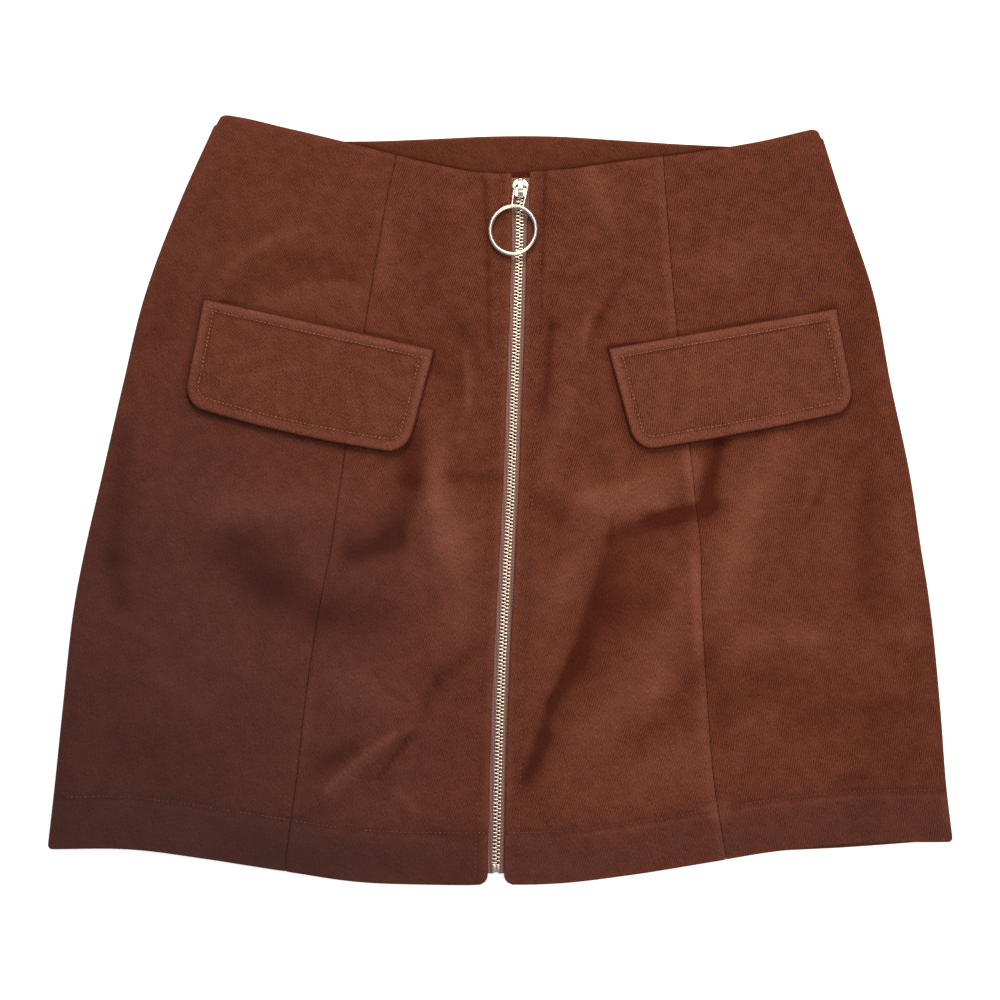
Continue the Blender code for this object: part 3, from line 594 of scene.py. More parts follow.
def set_inputs(node: Node, inputs: dict | tuple) -> None:
    """Sets a node's inputs to values or links them to sockets, by name or in their order."""
    for name, value in inputs.items() if isinstance(inputs, dict) else enumerate(inputs):
        if isinstance(value, NodeSocket):
            node.id_data.links.new(value, node.inputs[name])
        else:
            node.inputs[name].default_value = value


def add_node(
    tree: NodeTree, kind: str, inputs: dict | tuple, out: int | str = 0, **settings
) -> NodeSocket:
    """Adds a node with its settings, values and links.

    Args:
        tree: the material's nodes.
        kind: the node's type.
        inputs: its values, or the sockets to link, by name or in their order.
        out: the output that is used, by name or number.
        settings: the node's own settings.

    Returns:
        That output.
    """
    node = tree.nodes.new("ShaderNode" + kind)
    for name, value in settings.items():
        setattr(node, name, value)
    set_inputs(node, inputs)
    return node.outputs[out]


def start_finish(name: str) -> tuple[Material, Callable[..., NodeSocket]]:
    """Starts a material, and gives the function that adds nodes to it."""
    material = bpy.data.materials.new(name)
    material.use_nodes = True
    return material, partial(add_node, material.node_tree)


def dress(material: Material, inputs: dict) -> Material:
    """Gives a material's Principled shader its values and links."""
    set_inputs(material.node_tree.nodes["Principled BSDF"], inputs)
    return material


@dataclass(frozen=True)
class BrushedTwill:
    """Cotton twill with a brushed face.

    Its diagonal ribs are fine and close, and the raised nap half hides them in patches and turns
    the light softly, so that the cloth looks dry and a little mottled.
    """

    name: str = "cotton_twill_brushed"
    face: str = "#693A2C"
    # valley colours the ribs' valleys and also the painted shade; the next tone is painted highlight and
    # rubbed nap, and the next a grey painted shade for the lower left
    valley: str = "#3D1407"
    highlight_tone_and_wear: str = "#8E5A4D"
    grey_shade: str = "#352B2F"
    sheen: str = "#A8705A"
    rib: float = 1.25  # truly 1.15 mm, which is too fine for the view and is drawn coarser
    nap_patch: float = 8.0
    mottle: float = 48.0
    fibre: Point = (0.4, 1.6)

    def material(self) -> Material:
        """Makes the material, on the cloth's grain map, which is in metres across its ribs."""
        material, add = start_finish(self.name)
        grain = add("UVMap", (), uv_map="grain")
        shade_and_wear_map = add("Attribute", (), "Fac", attribute_name="shade_and_wear")
        faint_ribs_and_shade_map = add("Attribute", (), "Fac", attribute_name="shade_and_faint_ribs")
        slubs = {"Distortion": 3.0, "Detail": 2.0, "Detail Scale": 1.6, "Detail Roughness": 0.6}
        ribs = add("TexWave", {"Vector": grain, "Scale": band_scale(self.rib), **slubs}, "Fac")
        wide, long = self.fibre
        along = add("Mapping", {"Vector": grain, "Scale": (1 / wide, 1 / long, 1.0)})
        fibres = add("TexNoise", {"Vector": along, "Scale": 1 / MM, "Detail": 2.0})
        scale = 1 / (self.nap_patch * MM)
        patches = add("TexNoise", {"Vector": grain, "Scale": scale, "Detail": 3.0})
        cloudy = {"Scale": 1 / (self.mottle * MM), "Detail": 6.0, "Roughness": 0.72}
        mottles = add("TexNoise", {"Vector": grain, **cloudy})
        # the ribs show where the nap is thin, and less in the grey painted shade of the lower left
        crisp = add("Math", (faint_ribs_and_shade_map, -0.3, 1.0), operation="MULTIPLY_ADD")
        thin = add("MapRange", (patches, 0.36, 0.6, 0.5, 1.0))
        shows = add("Math", (thin, crisp), operation="MULTIPLY")
        valleys = add("MapRange", (ribs, 0.0, 1.0, 0.85, 0.0))
        valleys = add("Math", (valleys, shows), operation="MULTIPLY")
        # painted highlight and rubbed nap where the attribute is above 0, painted shade below 0, and the
        # grey painted shade of the lower left
        bright = add("MapRange", (shade_and_wear_map, 0.0, 1.0, 0.0, 0.45))
        dark = add("MapRange", (shade_and_wear_map, 0.0, -1.0, 0.0, 0.85))
        grey_shade_share = add("MapRange", (faint_ribs_and_shade_map, 0.25, 1.0, 0.0, 0.52))
        woven = linear(self.face)
        # the ribs' valleys, then painted highlight and wear, painted shade, and the grey painted shade
        for share, colour in (
            (valleys, self.valley), (bright, self.highlight_tone_and_wear), (dark, self.valley), (grey_shade_share, self.grey_shade)
        ):
            tones = {"Factor": share, "A": woven, "B": linear(colour)}
            woven = add("Mix", tones, 2, data_type="RGBA")
        shade = add("MapRange", (mottles, 0.3, 0.7, 0.91, 1.09))
        flecks = add("MapRange", (fibres, 0.25, 0.75, -0.55, 0.55))
        flecks = add("Math", (flecks, crisp, 1.0), operation="MULTIPLY_ADD")
        shade = add("Math", (shade, flecks), operation="MULTIPLY")
        coloured = add("HueSaturation", {"Color": woven, "Value": shade})
        raised = add("Math", (ribs, shows), operation="MULTIPLY")
        raised = add("Math", (fibres, 0.7, raised), operation="MULTIPLY_ADD")
        bump = add("Bump", {"Strength": 0.7, "Distance": 0.16 * MM, "Height": raised})
        return dress(material, {
            "Base Color": coloured, "Normal": bump, "Roughness": 0.9, "Specular IOR Level": 0.12,
            "Sheen Weight": 0.12, "Sheen Roughness": 0.5, "Sheen Tint": linear(self.sheen),
        })


@dataclass(frozen=True)
class WovenTape:
    """Polyester zip tape, woven in a fine herringbone: flat, a little grey and slightly glossy."""

    name: str = "polyester_tape_woven"
    thread: str = "#9C7A74"
    between: str = "#6E4E4A"
    pitch: float = 0.9

    def material(self) -> Material:
        """Makes the material, on the tape's grain map, which is in metres across its length."""
        material, add = start_finish(self.name)
        grain = add("UVMap", (), uv_map="grain")
        rows = {"Vector": grain, "Scale": band_scale(self.pitch)}
        ends = {"Vector": grain, "Scale": band_scale(self.pitch * 2)}
        rows = add("TexWave", rows, "Fac", bands_direction="DIAGONAL")
        ends = add("TexWave", ends, "Fac", bands_direction="X")
        weave = add("Math", (rows, ends), operation="MULTIPLY")
        tones = {"Factor": weave, "A": linear(self.between), "B": linear(self.thread)}
        woven = add("Mix", tones, 2, data_type="RGBA")
        bump = add("Bump", {"Strength": 0.6, "Distance": 0.12 * MM, "Height": weave})
        gloss = {"Roughness": 0.7, "Specular IOR Level": 0.4}
        return dress(material, {"Base Color": woven, "Normal": bump, **gloss})


@dataclass(frozen=True)
class PlatedMetal:
    """Zinc or brass, cast or stamped and then nickel plated: bright, warm and softly polished."""

    name: str = "nickel_plate_polished"
    colour: str = "#E0D6CC"
    roughness: float = 0.3
    unevenness: float = 2.5

    def material(self) -> Material:
        """Makes the material, with the slight waviness that tumbling leaves."""
        material, add = start_finish(self.name)
        place, scale = add("TexCoord", (), "Object"), 1 / (self.unevenness * MM)
        waves = add("TexNoise", {"Vector": place, "Scale": scale, "Detail": 2.0})
        low, high = self.roughness - 0.07, self.roughness + 0.07
        rough = add("MapRange", (waves, 0.0, 1.0, low, high))
        bump = add("Bump", {"Strength": 0.1, "Distance": 0.03 * MM, "Height": waves})
        plate = {"Base Color": linear(self.colour), "Metallic": 1.0}
        return dress(material, {**plate, "Roughness": rough, "Normal": bump})


@dataclass(frozen=True)
class SpunThread:
    """Spun polyester sewing thread: the cloth's colour a little lighter, with a dull twist."""

    name: str = "polyester_thread_spun"
    light: str = "#9A6A58"
    dark: str = "#744638"

    def material(self) -> Material:
        """Makes the material, uneven from stitch to stitch."""
        material, add = start_finish(self.name)
        place, scale = add("TexCoord", (), "Object"), 1 / (3.0 * MM)
        uneven = add("TexNoise", {"Vector": place, "Scale": scale, "Detail": 1.0})
        uneven = add("MapRange", (uneven, 0.35, 0.65))
        tones = {"Factor": uneven, "A": linear(self.dark), "B": linear(self.light)}
        colour = add("Mix", tones, 2, data_type="RGBA")
        gloss = {"Roughness": 0.6, "Specular IOR Level": 0.4}
        return dress(material, {"Base Color": colour, **gloss})


@dataclass(frozen=True)
class BackdropPaper:
    """Matt white backdrop paper, which the studio's light leaves without a tone of its own."""

    name: str = "backdrop_paper_matt"
    colour: str = "#F8F7F5"
    glow: float = 0.7

    def material(self) -> Material:
        """Makes the material."""
        white, matt = linear(self.colour), {"Roughness": 0.95, "Specular IOR Level": 0.2}
        glow = {"Emission Color": white, "Emission Strength": self.glow}
        return dress(start_finish(self.name)[0], {"Base Color": white, **matt, **glow})


# ---- Meshes ----


@dataclass
class Span:
    """Distances over cloth, in even steps but closer together towards both its ends."""

    length: float
    step: float
    start: Ends = Ends.FOLDED
    end: Ends = Ends.FOLDED

    @property
    def at(self) -> Net:
        """The distances, from 0 to the length."""
        first, last = np.array(self.start.value), self.length - np.array(self.end.value)[::-1]
        count = max(2, round((last[0] - first[-1]) / self.step))
        return np.concatenate([first, np.linspace(first[-1], last[0], count + 1)[1:-1], last])

    @property
    def shares(self) -> Net:
        """The distances, as shares of the length."""
        return self.at / self.length

    def rounding(self, radius: float = 1.0) -> Net:
        """The shares of a wall's thickness, which is less where a folded edge rounds off."""
        at = self.at
        share = np.ones_like(at)
        for kind, distance in ((self.start, at), (self.end, self.length - at)):
            if kind is Ends.FOLDED:
                inside = np.clip(1 - distance / radius, 0.0, 1.0)
                share = share * np.sqrt(np.maximum(1 - inside**2, 0.015))
        return share


def stack(x: Net, y: Net, z: Net) -> Net:
    """A net of points from its three coordinates."""
    return np.stack(np.broadcast_arrays(x, y, z), axis=-1).astype(float)


def lay_net(
    sides: tuple[Rule, Rule], edges: tuple[Rule, Rule], across: Net, up: Net, out: Net | float = 0.0
) -> tuple[Net, Net]:
    """Spreads points between two long lines and two edges.

    Args:
        sides: the lines that the net starts and ends at, as x at y.
        edges: its lower and upper edges, as y at x.
        across: shares of the way across, from 0 to 1, one for each column.
        up: shares of the way up, one for each row.
        out: a distance added across, one for each column.

    Returns:
        The points' x and y.
    """
    t, s = np.meshgrid(up, across, indexing="ij")
    y = -200.0 + 400.0 * t
    for _ in range(16):
        x = sides[0](y) * (1 - s) + sides[1](y) * s + out
        y = edges[0](x) * (1 - t) + edges[1](x) * t
    return x, y


def finished(mesh: Mesh, name: str, finish: Material) -> Object:
    """Makes an object of a mesh, with its faces turned outwards, smoothed and finished."""
    bm = bmesh.new()
    bm.from_mesh(mesh)
    bmesh.ops.recalc_face_normals(bm, faces=bm.faces)
    bm.to_mesh(mesh)
    bm.free()
    mesh.shade_smooth()
    mesh.set_sharp_from_angle(angle=radians(60))
    mesh.materials.append(finish)
    obj = bpy.data.objects.new(name, mesh)
    bpy.context.scene.collection.objects.link(obj)
    return obj


def only(*objects: Object) -> None:
    """Selects these objects alone, and makes the first of them active."""
    bpy.ops.object.select_all(action="DESELECT")
    for obj in objects:
        obj.select_set(True)
    bpy.context.view_layer.objects.active = objects[0] if objects else None


def pick(obj: Object, kind: str, rule: Callable[[Vector], bool]) -> None:
    """Goes to edit mode with only some parts of an object selected.

    Args:
        obj: the object.
        kind: VERT, EDGE or FACE.
        rule: says whether a part is selected, from its middle in the mesh.
    """
    bpy.ops.object.mode_set(mode="EDIT")
    bpy.ops.mesh.select_mode(type=kind)
    bpy.ops.mesh.select_all(action="DESELECT")
    bm = bmesh.from_edit_mesh(obj.data)
    for part in {"VERT": bm.verts, "EDGE": bm.edges, "FACE": bm.faces}[kind]:
        ends = [part.co] if kind == "VERT" else [vert.co for vert in part.verts]
        part.select_set(bool(rule(sum(ends, Vector()) / len(ends))))
    bm.select_flush_mode()
    bmesh.update_edit_mesh(obj.data)


def to_object_mode() -> None:
    """Leaves edit mode."""
    bpy.ops.object.mode_set(mode="OBJECT")


def settle(obj: Object) -> Object:
    """Applies an object's place, turn and size to its mesh."""
    only(obj)
    bpy.ops.object.transform_apply(location=True, rotation=True, scale=True)
    return obj


def add_box(low: Place, high: Place) -> Object:
    """Adds a box between two corners."""
    only()
    low, high = Vector(low), Vector(high)
    bpy.ops.mesh.primitive_cube_add(size=1.0, location=(low + high) / 2)
    bpy.context.active_object.scale = high - low
    return settle(bpy.context.active_object)


def bevel(obj: Object, width: float, segments: int) -> Object:
    """Bevels all the edges of an object."""
    pick(obj, "FACE", lambda co: True)
    bpy.ops.mesh.bevel(offset=width, segments=segments, affect="EDGES")
    to_object_mode()
    return obj


def join(name: str, parts: list[Object], finish: Material) -> Object:
    """Joins parts into one object with one finish."""
    only(*parts)
    bpy.ops.object.join()
    body = bpy.context.view_layer.objects.active
    body.name = body.data.name = name
    body.data.materials.clear()
    body.data.materials.append(finish)
    body.data.shade_smooth()
    return body


def cast_together(name: str, parts: list[Object], voxel: float, finish: Material) -> Object:
    """Joins parts into one casting with soft edges and corners.

    Args:
        name: the piece's name.
        parts: the parts, which overlap.
        voxel: the size of its surface's squares, in millimetres.
        finish: its finish.

    Returns:
        The piece.
    """
    body = join(name, [settle(part) for part in parts], finish)
    remesh = body.modifiers.new("cast", "REMESH")
    remesh.mode, remesh.voxel_size, remesh.use_smooth_shade = "VOXEL", voxel * MM, True
    soften = body.modifiers.new("tumbled", "SMOOTH")
    soften.factor, soften.iterations = 0.5, 4
    for modifier in ("cast", "tumbled"):
        bpy.ops.object.modifier_apply(modifier=modifier)
    return body


def strew(name: str, form: Mesh, origins: Net, axes: Net, finish: Material) -> Object:
    """Lays copies of one small form, and makes them one piece.

    Args:
        name: the piece's name.
        form: the form's mesh, in millimetres.
        origins: where the copies lie, one row for each.
        axes: the copies' own X, Y and Z axes, as three rows for each.
        finish: its finish.

    Returns:
        The piece.
    """
    points = np.array([vert.co for vert in form.vertices])
    placed = origins[:, None, :] + np.einsum("pk,nkc->npc", points, axes)
    faces = [
        [corner + copy * len(points) for corner in side.vertices]
        for copy in range(len(origins)) for side in form.polygons
    ]
    mesh = bpy.data.meshes.new(name)
    mesh.from_pydata((placed.reshape(-1, 3) * MM).tolist(), [], faces)
    return finished(mesh, name, finish)


def take_mesh(obj: Object) -> Mesh:
    """Takes a modelled object's mesh, and removes the object."""
    mesh = settle(obj).data
    bpy.data.objects.remove(obj)
    return mesh


# ---- The cloth ----


@dataclass(kw_only=True)
class Cloth:
    """A piece of cloth, laid on the form.

    grain is the angle of its ribs from +X, in degrees. cut is the size it was cut to, in metres,
    and area its flat area in square metres where the cut isn't a rectangle; neither is used here.
    """

    form: SkirtForm
    finish: Material
    grain: float
    cut: Point
    area: float | None = None

    def wall(
        self, name: str, node: str, nets: tuple[Net, Net], share: Net, shade_and_wear: Net,
        shade_and_faint_ribs: Net | float = 0.0, rests_on: tuple[str, ...] = ("back_cloth",),
    ) -> Object:
        """Builds a closed wall between two nets, with its grain map, and its wear and painted light.

        Args:
            name: the piece's name.
            node: the node that it stands for.
            nets: the nets of its face and of its other side, in rows and columns of points.
            share: the share of its thickness that it keeps at each point.
            shade_and_wear: painted shade, to -1, and painted highlight with rubbed nap, to 1, at each
                point.
            shade_and_faint_ribs: a grey painted shade at each point, to 1, where the ribs are also drawn
                fainter, or how crisp the ribs are, below 0.
            rests_on: what it lies on; not used.

        Returns:
            The piece.
        """
        middle = (nets[0] + nets[1]) / 2
        outer, inner = (middle + (net - middle) * share[..., None] for net in nets)
        rows, columns = outer.shape[:2]
        index = np.arange(rows * columns).reshape(rows, columns)
        corners = [index[:-1, :-1], index[:-1, 1:], index[1:, 1:], index[1:, :-1]]
        face = np.stack(corners, axis=-1).reshape(-1, 4)
        rim = np.concatenate([index[0, :-1], index[:-1, -1], index[-1, :0:-1], index[:0:-1, 0]])
        after, under = np.roll(rim, -1), rows * columns
        band = np.stack([after, rim, rim + under, after + under], axis=-1)
        faces = np.concatenate([face, face[:, ::-1] + under, band])
        points = np.concatenate([outer.reshape(-1, 3), inner.reshape(-1, 3)])
        mesh = bpy.data.meshes.new(name)
        mesh.from_pydata((points * MM).tolist(), [], faces.tolist())
        turn = radians(self.grain)
        across, along = np.array([[-sin(turn), cos(turn)], [cos(turn), sin(turn)]])
        flat = points[:, :2] @ np.stack([across, along], axis=-1) * MM
        loops = np.empty(len(mesh.loops), dtype=np.int32)
        mesh.loops.foreach_get("vertex_index", loops)
        mesh.uv_layers.new(name="grain").data.foreach_set("uv", flat[loops].ravel())
        for label, values in (("shade_and_wear", shade_and_wear), ("shade_and_faint_ribs", shade_and_faint_ribs)):
            values = np.tile(np.broadcast_to(values, (rows, columns)).ravel(), 2)
            mesh.attributes.new(label, "FLOAT", "POINT").data.foreach_set("value", values)
        piece = finished(mesh, name, self.finish)
        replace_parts(piece, node)
        return piece


@dataclass(kw_only=True)
class BackPanel(Cloth):
    """The back: flat on the ground, and rolled up to the side seams along both edges."""

    step: float = 3.0

    def build(self) -> Object:
        """Builds the back.

        Returns:
            The piece.
        """
        form, rows = self.form, Span(400.0, self.step)
        turns = np.linspace(0.0, pi / 2, 9)
        flat = np.linspace(0.0, 1.0, round(490 / self.step))
        sweep = np.concatenate([turns, np.full(len(flat) - 2, pi / 2), turns[::-1]])
        shares = np.concatenate([np.zeros(8), flat, np.ones(8)])
        sign = np.where(np.arange(len(shares)) < len(shares) / 2, -1.0, 1.0)
        left, right, roll = form.line("side_left"), form.line("side_right"), form.side_roll
        x, y = lay_net(
            (lambda y: left(y) + roll, lambda y: right(y) - roll),
            (form.trimmed_edge("back_hem"), form.trimmed_edge("back_waist")),
            shares, rows.shares, sign * roll * np.cos(sweep),
        )
        up = form.above("back_hem", x, y)
        fade = ramp(up, form.hem_depth, form.hem_depth + form.turning_fade)
        thick = form.turned - (form.turned - form.cloth) * fade
        centre = roll - form.gap / 2
        groove = 0.32 * bell(up - form.hem_stitch, 1.4) * np.sin(sweep)
        outer = stack(x, y, centre - centre * np.sin(sweep) + groove)
        lift = centre - (centre - thick) * np.sin(sweep)
        inner = stack(x - sign * thick * np.cos(sweep), y, lift)
        # a lighter folded hem edge, partly rubbed nap and partly painted highlight, and painted shade in
        # the hem stitching's groove
        shade_and_wear = bumps((0.4, up, 1.6), (-0.4, up - form.hem_stitch, 1.0))
        share, shade_and_faint_ribs = rows.rounding()[:, None], form.shade_and_faint_ribs(x, y)
        nets = (outer, inner)
        return self.wall("back_cloth", "back_panel", nets, share, shade_and_wear, shade_and_faint_ribs, ("surface",))


@dataclass(kw_only=True)
class BackFacing(Cloth):
    """The facing inside the back waist, which shows above the dipped front edge."""

    inset: float = 1.0
    step: float = 1.4

    def build(self) -> Object:
        """Builds the facing.

        Returns:
            The piece.
        """
        form, inside = self.form, self.form.side_roll + 2.0
        left, right = form.line("side_left"), form.line("side_right")
        upper = form.edge("back_waist")
        rows = Span(form.facing_depth - self.inset, self.step, start=Ends.PLAIN)
        x, y = lay_net(
            (lambda y: left(y) + inside, lambda y: right(y) - inside),
            (lambda x: upper(x) - form.facing_depth, lambda x: upper(x) - self.inset),
            Span(350.0, self.step, Ends.PLAIN, Ends.PLAIN).shares, rows.shares,
        )
        base = form.cloth + form.gap
        rise = 0.12 * np.sin(x * 0.07 + 0.5) * np.sin(y * 0.09) + 0.12
        nets = (stack(x, y, base + form.facing_cloth + rise), stack(x, y, base))
        above = form.above("waist", x, y)
        # a lighter top edge, partly rubbed nap and partly painted highlight, and a painted shadow line
        # with softer painted shade just above the front's waist edge
        shade_and_wear = bumps(
            (0.3, upper(x) - self.inset - y, 1.4), (-1.6, above - 0.3, 1.0), (-0.35, above, 5.0)
        )
        share = rows.rounding(0.7)[:, None]
        return self.wall("back_facing_cloth", "back_facing", nets, share, shade_and_wear)


@dataclass(kw_only=True)
class FrontPanel(Cloth):
    """A side front, from its princess seam to the side seam, or a centre front, from the zip."""

    hand: Hand
    centre: bool
    step: float = 2.1

    def build(self) -> Object:
        """Builds the panel.

        Returns:
            The piece.
        """
        form, sign, side = self.form, self.hand.sign, self.hand.value
        seam, roll = form.line("seam_" + side), form.side_roll
        if self.centre:
            kind, zip_line = "centre", form.line("zip")
            columns, rows = Span(92.0, self.step * 0.9, end=Ends.SEWN), Span(398.0, self.step)
            shares = columns.shares
            sweep = np.full(len(shares), pi / 2)
            share = np.minimum.outer(rows.rounding(), columns.rounding())
            sides = (
                lambda y: zip_line(y) + sign * form.sizes.opening(y),
                lambda y: seam(y) - sign * form.gap / 2,
            )
        else:
            kind, edge = "side", form.line("side_" + side)
            columns, rows = Span(120.0, self.step, Ends.SEWN, Ends.PLAIN), Span(400.0, self.step)
            shares = np.concatenate([columns.shares, np.ones(9)])
            turns = np.linspace(pi / 2, 0.0, 10)
            sweep = np.concatenate([np.full(len(shares) - 10, pi / 2), turns])
            share = rows.rounding()[:, None]
            sides = (lambda y: seam(y) + sign * form.gap / 2, lambda y: edge(y) - sign * roll)
        out = sign * roll * np.cos(sweep)
        edges = (form.trimmed_edge("hem"), form.trimmed_edge("waist"))
        x, y = lay_net(sides, edges, shares, rows.shares, out)
        thick = form.front_thickness(x - out, y)
        seam_level = roll + form.gap / 2
        rise = form.front_height(x - out, y) - seam_level
        inner_x = x - sign * thick * np.cos(sweep)
        nets = (
            stack(x, y, seam_level + rise * np.sin(sweep)),
            stack(inner_x, y, seam_level + (rise - thick) * np.sin(sweep)),
        )
        name, node, shade_and_wear = f"{kind}_front_{side}", f"front_{kind}_{side}", form.shade_and_wear(x, y)
        return self.wall(name, node, nets, share, shade_and_wear, form.shade_and_faint_ribs(x, y))


@dataclass(kw_only=True)
class PocketFlap(Cloth):
    """A pocket flap: two layers with a rolled rim and topstitching, laid on the front."""

    hand: Hand
    top_left: Point
    top_right: Point
    bottom_right: Point
    bottom_left: Point
    bow: float
    thickness: float = 2.2
    lift: float = 1.3
    corner: float = 13.0
    stitch_in: float = 7.2
    stitch_down: float = 6.3
    step: float = 1.35

    def __post_init__(self) -> None:
        """Works out the flap's width and depth."""
        self.width = float(np.hypot(*np.subtract(self.top_right, self.top_left)))
        self.depth = float(np.hypot(*np.subtract(self.bottom_left, self.top_left)))

    def place(self, across: Net, up: Net) -> tuple[Net, Net]:
        """Where a point of the flap lies.

        Args:
            across: its distance from the left edge.
            up: its distance from the lower edge.

        Returns:
            Its x and y on the skirt.
        """
        s, t = across / self.width, 1 - up / self.depth
        x, y = (
            self.top_left[k] * (1 - s) * (1 - t) + self.top_right[k] * s * (1 - t)
            + self.bottom_right[k] * s * t + self.bottom_left[k] * (1 - s) * t
            for k in (0, 1)
        )
        return x, y - self.bow * 4 * s * (1 - s) * t

    def rest(self, height: Net, reach: int) -> Net:
        """The smooth height of a stiff sheet that lies on a bumpy one and touches it nowhere less.

        Args:
            height: the bumpy sheet's height on the flap's net.
            reach: how many points of the net the stiff sheet bridges.

        Returns:
            The stiff sheet's height.
        """
        for combine in (np.max, np.mean):
            for axis in (0, 1):
                pad = [(reach, reach) if k == axis else (0, 0) for k in (0, 1)]
                wide = np.pad(height, pad, mode="edge")
                count = height.shape[axis]
                shifted = [np.take(wide, range(k, k + count), axis) for k in range(2 * reach + 1)]
                height = combine(shifted, axis=0)
        return height

    def build(self) -> Object:
        """Builds the flap.

        Returns:
            The piece.
        """
        side, corner = self.hand.value, self.corner
        rows, columns = Span(self.depth, self.step), Span(self.width, self.step)
        up = rows.at[:, None]
        inset = corner_cut(up, corner)
        across = inset + columns.at / self.width * (self.width - 2 * inset)
        x, y = self.place(across, up)
        beside = np.minimum(across, self.width - across)
        in_corner = (beside < corner) & (up < corner)
        round_in = corner - np.hypot(corner - beside, corner - up)
        rim = np.where(in_corner, round_in, np.minimum(beside, up + 0 * beside))
        rim = np.minimum(rim, self.depth - up)
        down = ramp(1 - up / self.depth, 0.15, 1.0)
        base = self.rest(self.form.front_height(x, y), 4) + self.form.gap + self.lift * down
        base = base + 0.35 * np.sin(x * 0.055 + self.hand.sign) * np.sin(y * 0.06) * down
        belly = 0.25 * ramp(rim, self.stitch_in, self.stitch_in + 9)
        groove, roll = bell(rim - self.stitch_in, 1.0), bumps((0.38, rim - 3.6, 2.6), (-0.5, rim, 1.4))
        top = base + self.thickness + belly - 0.42 * groove + roll * (0.4 + 0.6 * down)
        # painted light on the flap: a little lighter all over, a painted highlight on the rolled rim,
        # painted shade in the stitching's groove, and a painted dark outline at the edge where shade
        # falls
        shade_and_wear = bumps((0.75, rim - 2.6, 2.6), (-0.5, rim - self.stitch_in, 0.9))
        shade_and_wear = 0.2 + shade_and_wear * (0.85 - 0.3 * down) - 2.4 * bell(rim, 0.75)
        share = np.minimum.outer(rows.rounding(1.1), columns.rounding(1.1))
        nets, under = (stack(x, y, top), stack(x, y, base)), ("side_front_", "centre_front_")
        self.surface = nets[0].reshape(-1, 3)
        rests = tuple(panel + side for panel in under)
        return self.wall(f"pocket_flap_{side}", "flap_" + side, nets, share, shade_and_wear, -0.35, rests)

    def height(self, x: Net, y: Net) -> Net:
        """The built flap's height at points on it."""
        tree = kdtree.KDTree(len(self.surface))
        for index, point in enumerate(self.surface):
            tree.insert((point[0], point[1], 0.0), index)
        tree.balance()
        heights = []
        for place in zip(x, y):
            near = tree.find_n((*place, 0.0), 4)
            weights = [1 / (away + 0.05) for _, _, away in near]
            levels = [self.surface[index][2] for _, index, _ in near]
            heights.append(np.average(levels, weights=weights))
        return np.array(heights)

    def stitch_paths(self) -> list[Net]:
        """The topstitching's runs: one below the upper edge, and one inside the other three."""
        inside, high = self.stitch_in, self.depth - self.stitch_down
        turn = np.linspace(0.0, pi / 2, 12)
        radius = self.corner - inside
        left = [(self.corner - radius * cos(a), self.corner - radius * sin(a)) for a in turn]
        right = [(self.width - u, b) for u, b in left[::-1]]
        loop = [(inside, high), *left, *right, (self.width - inside, high)]
        paths = []
        for corners in ([(0.6, high), (self.width - 0.6, high)], loop):
            corners = np.array(corners)
            run = np.concatenate([[0], np.cumsum(np.hypot(*np.diff(corners, axis=0).T))])
            even = np.linspace(0, run[-1], round(run[-1] / 0.7))
            across, up = (np.interp(even, run, corners[:, k]) for k in (0, 1))
            paths.append(np.stack(self.place(across, up), axis=-1))
        return paths


@dataclass(kw_only=True)
class ZipTape(Cloth):
    """One of the zip's tapes, with the corded edge that its teeth grip."""

    hand: Hand
    near: float = 1.3
    cord: float = 0.55
    step: float = 2.0

    def build(self) -> Object:
        """Builds the tape.

        Returns:
            The piece.
        """
        form, sizes, side = self.form, self.form.sizes, self.hand.value
        columns = Span(sizes.tape_half - self.near, 1.0, Ends.PLAIN, Ends.PLAIN).at
        rows = Span(sizes.top - sizes.bottom, self.step, Ends.PLAIN, Ends.PLAIN).at
        y = sizes.bottom + rows[:, None] + 0 * columns
        x = form.line("zip")(y) + self.hand.sign * (self.near + columns)
        level = form.zip_level(y)
        top = stack(x, y, level + sizes.tape - 0.15 + self.cord * bell(columns - 0.6, 0.6))
        nets, flat = (top, stack(x, y, level + 0.1)), np.ones(y.shape)
        return self.wall("tape_" + side, "zip_tape_" + side, nets, flat, 0 * flat)


# ---- Sewing ----


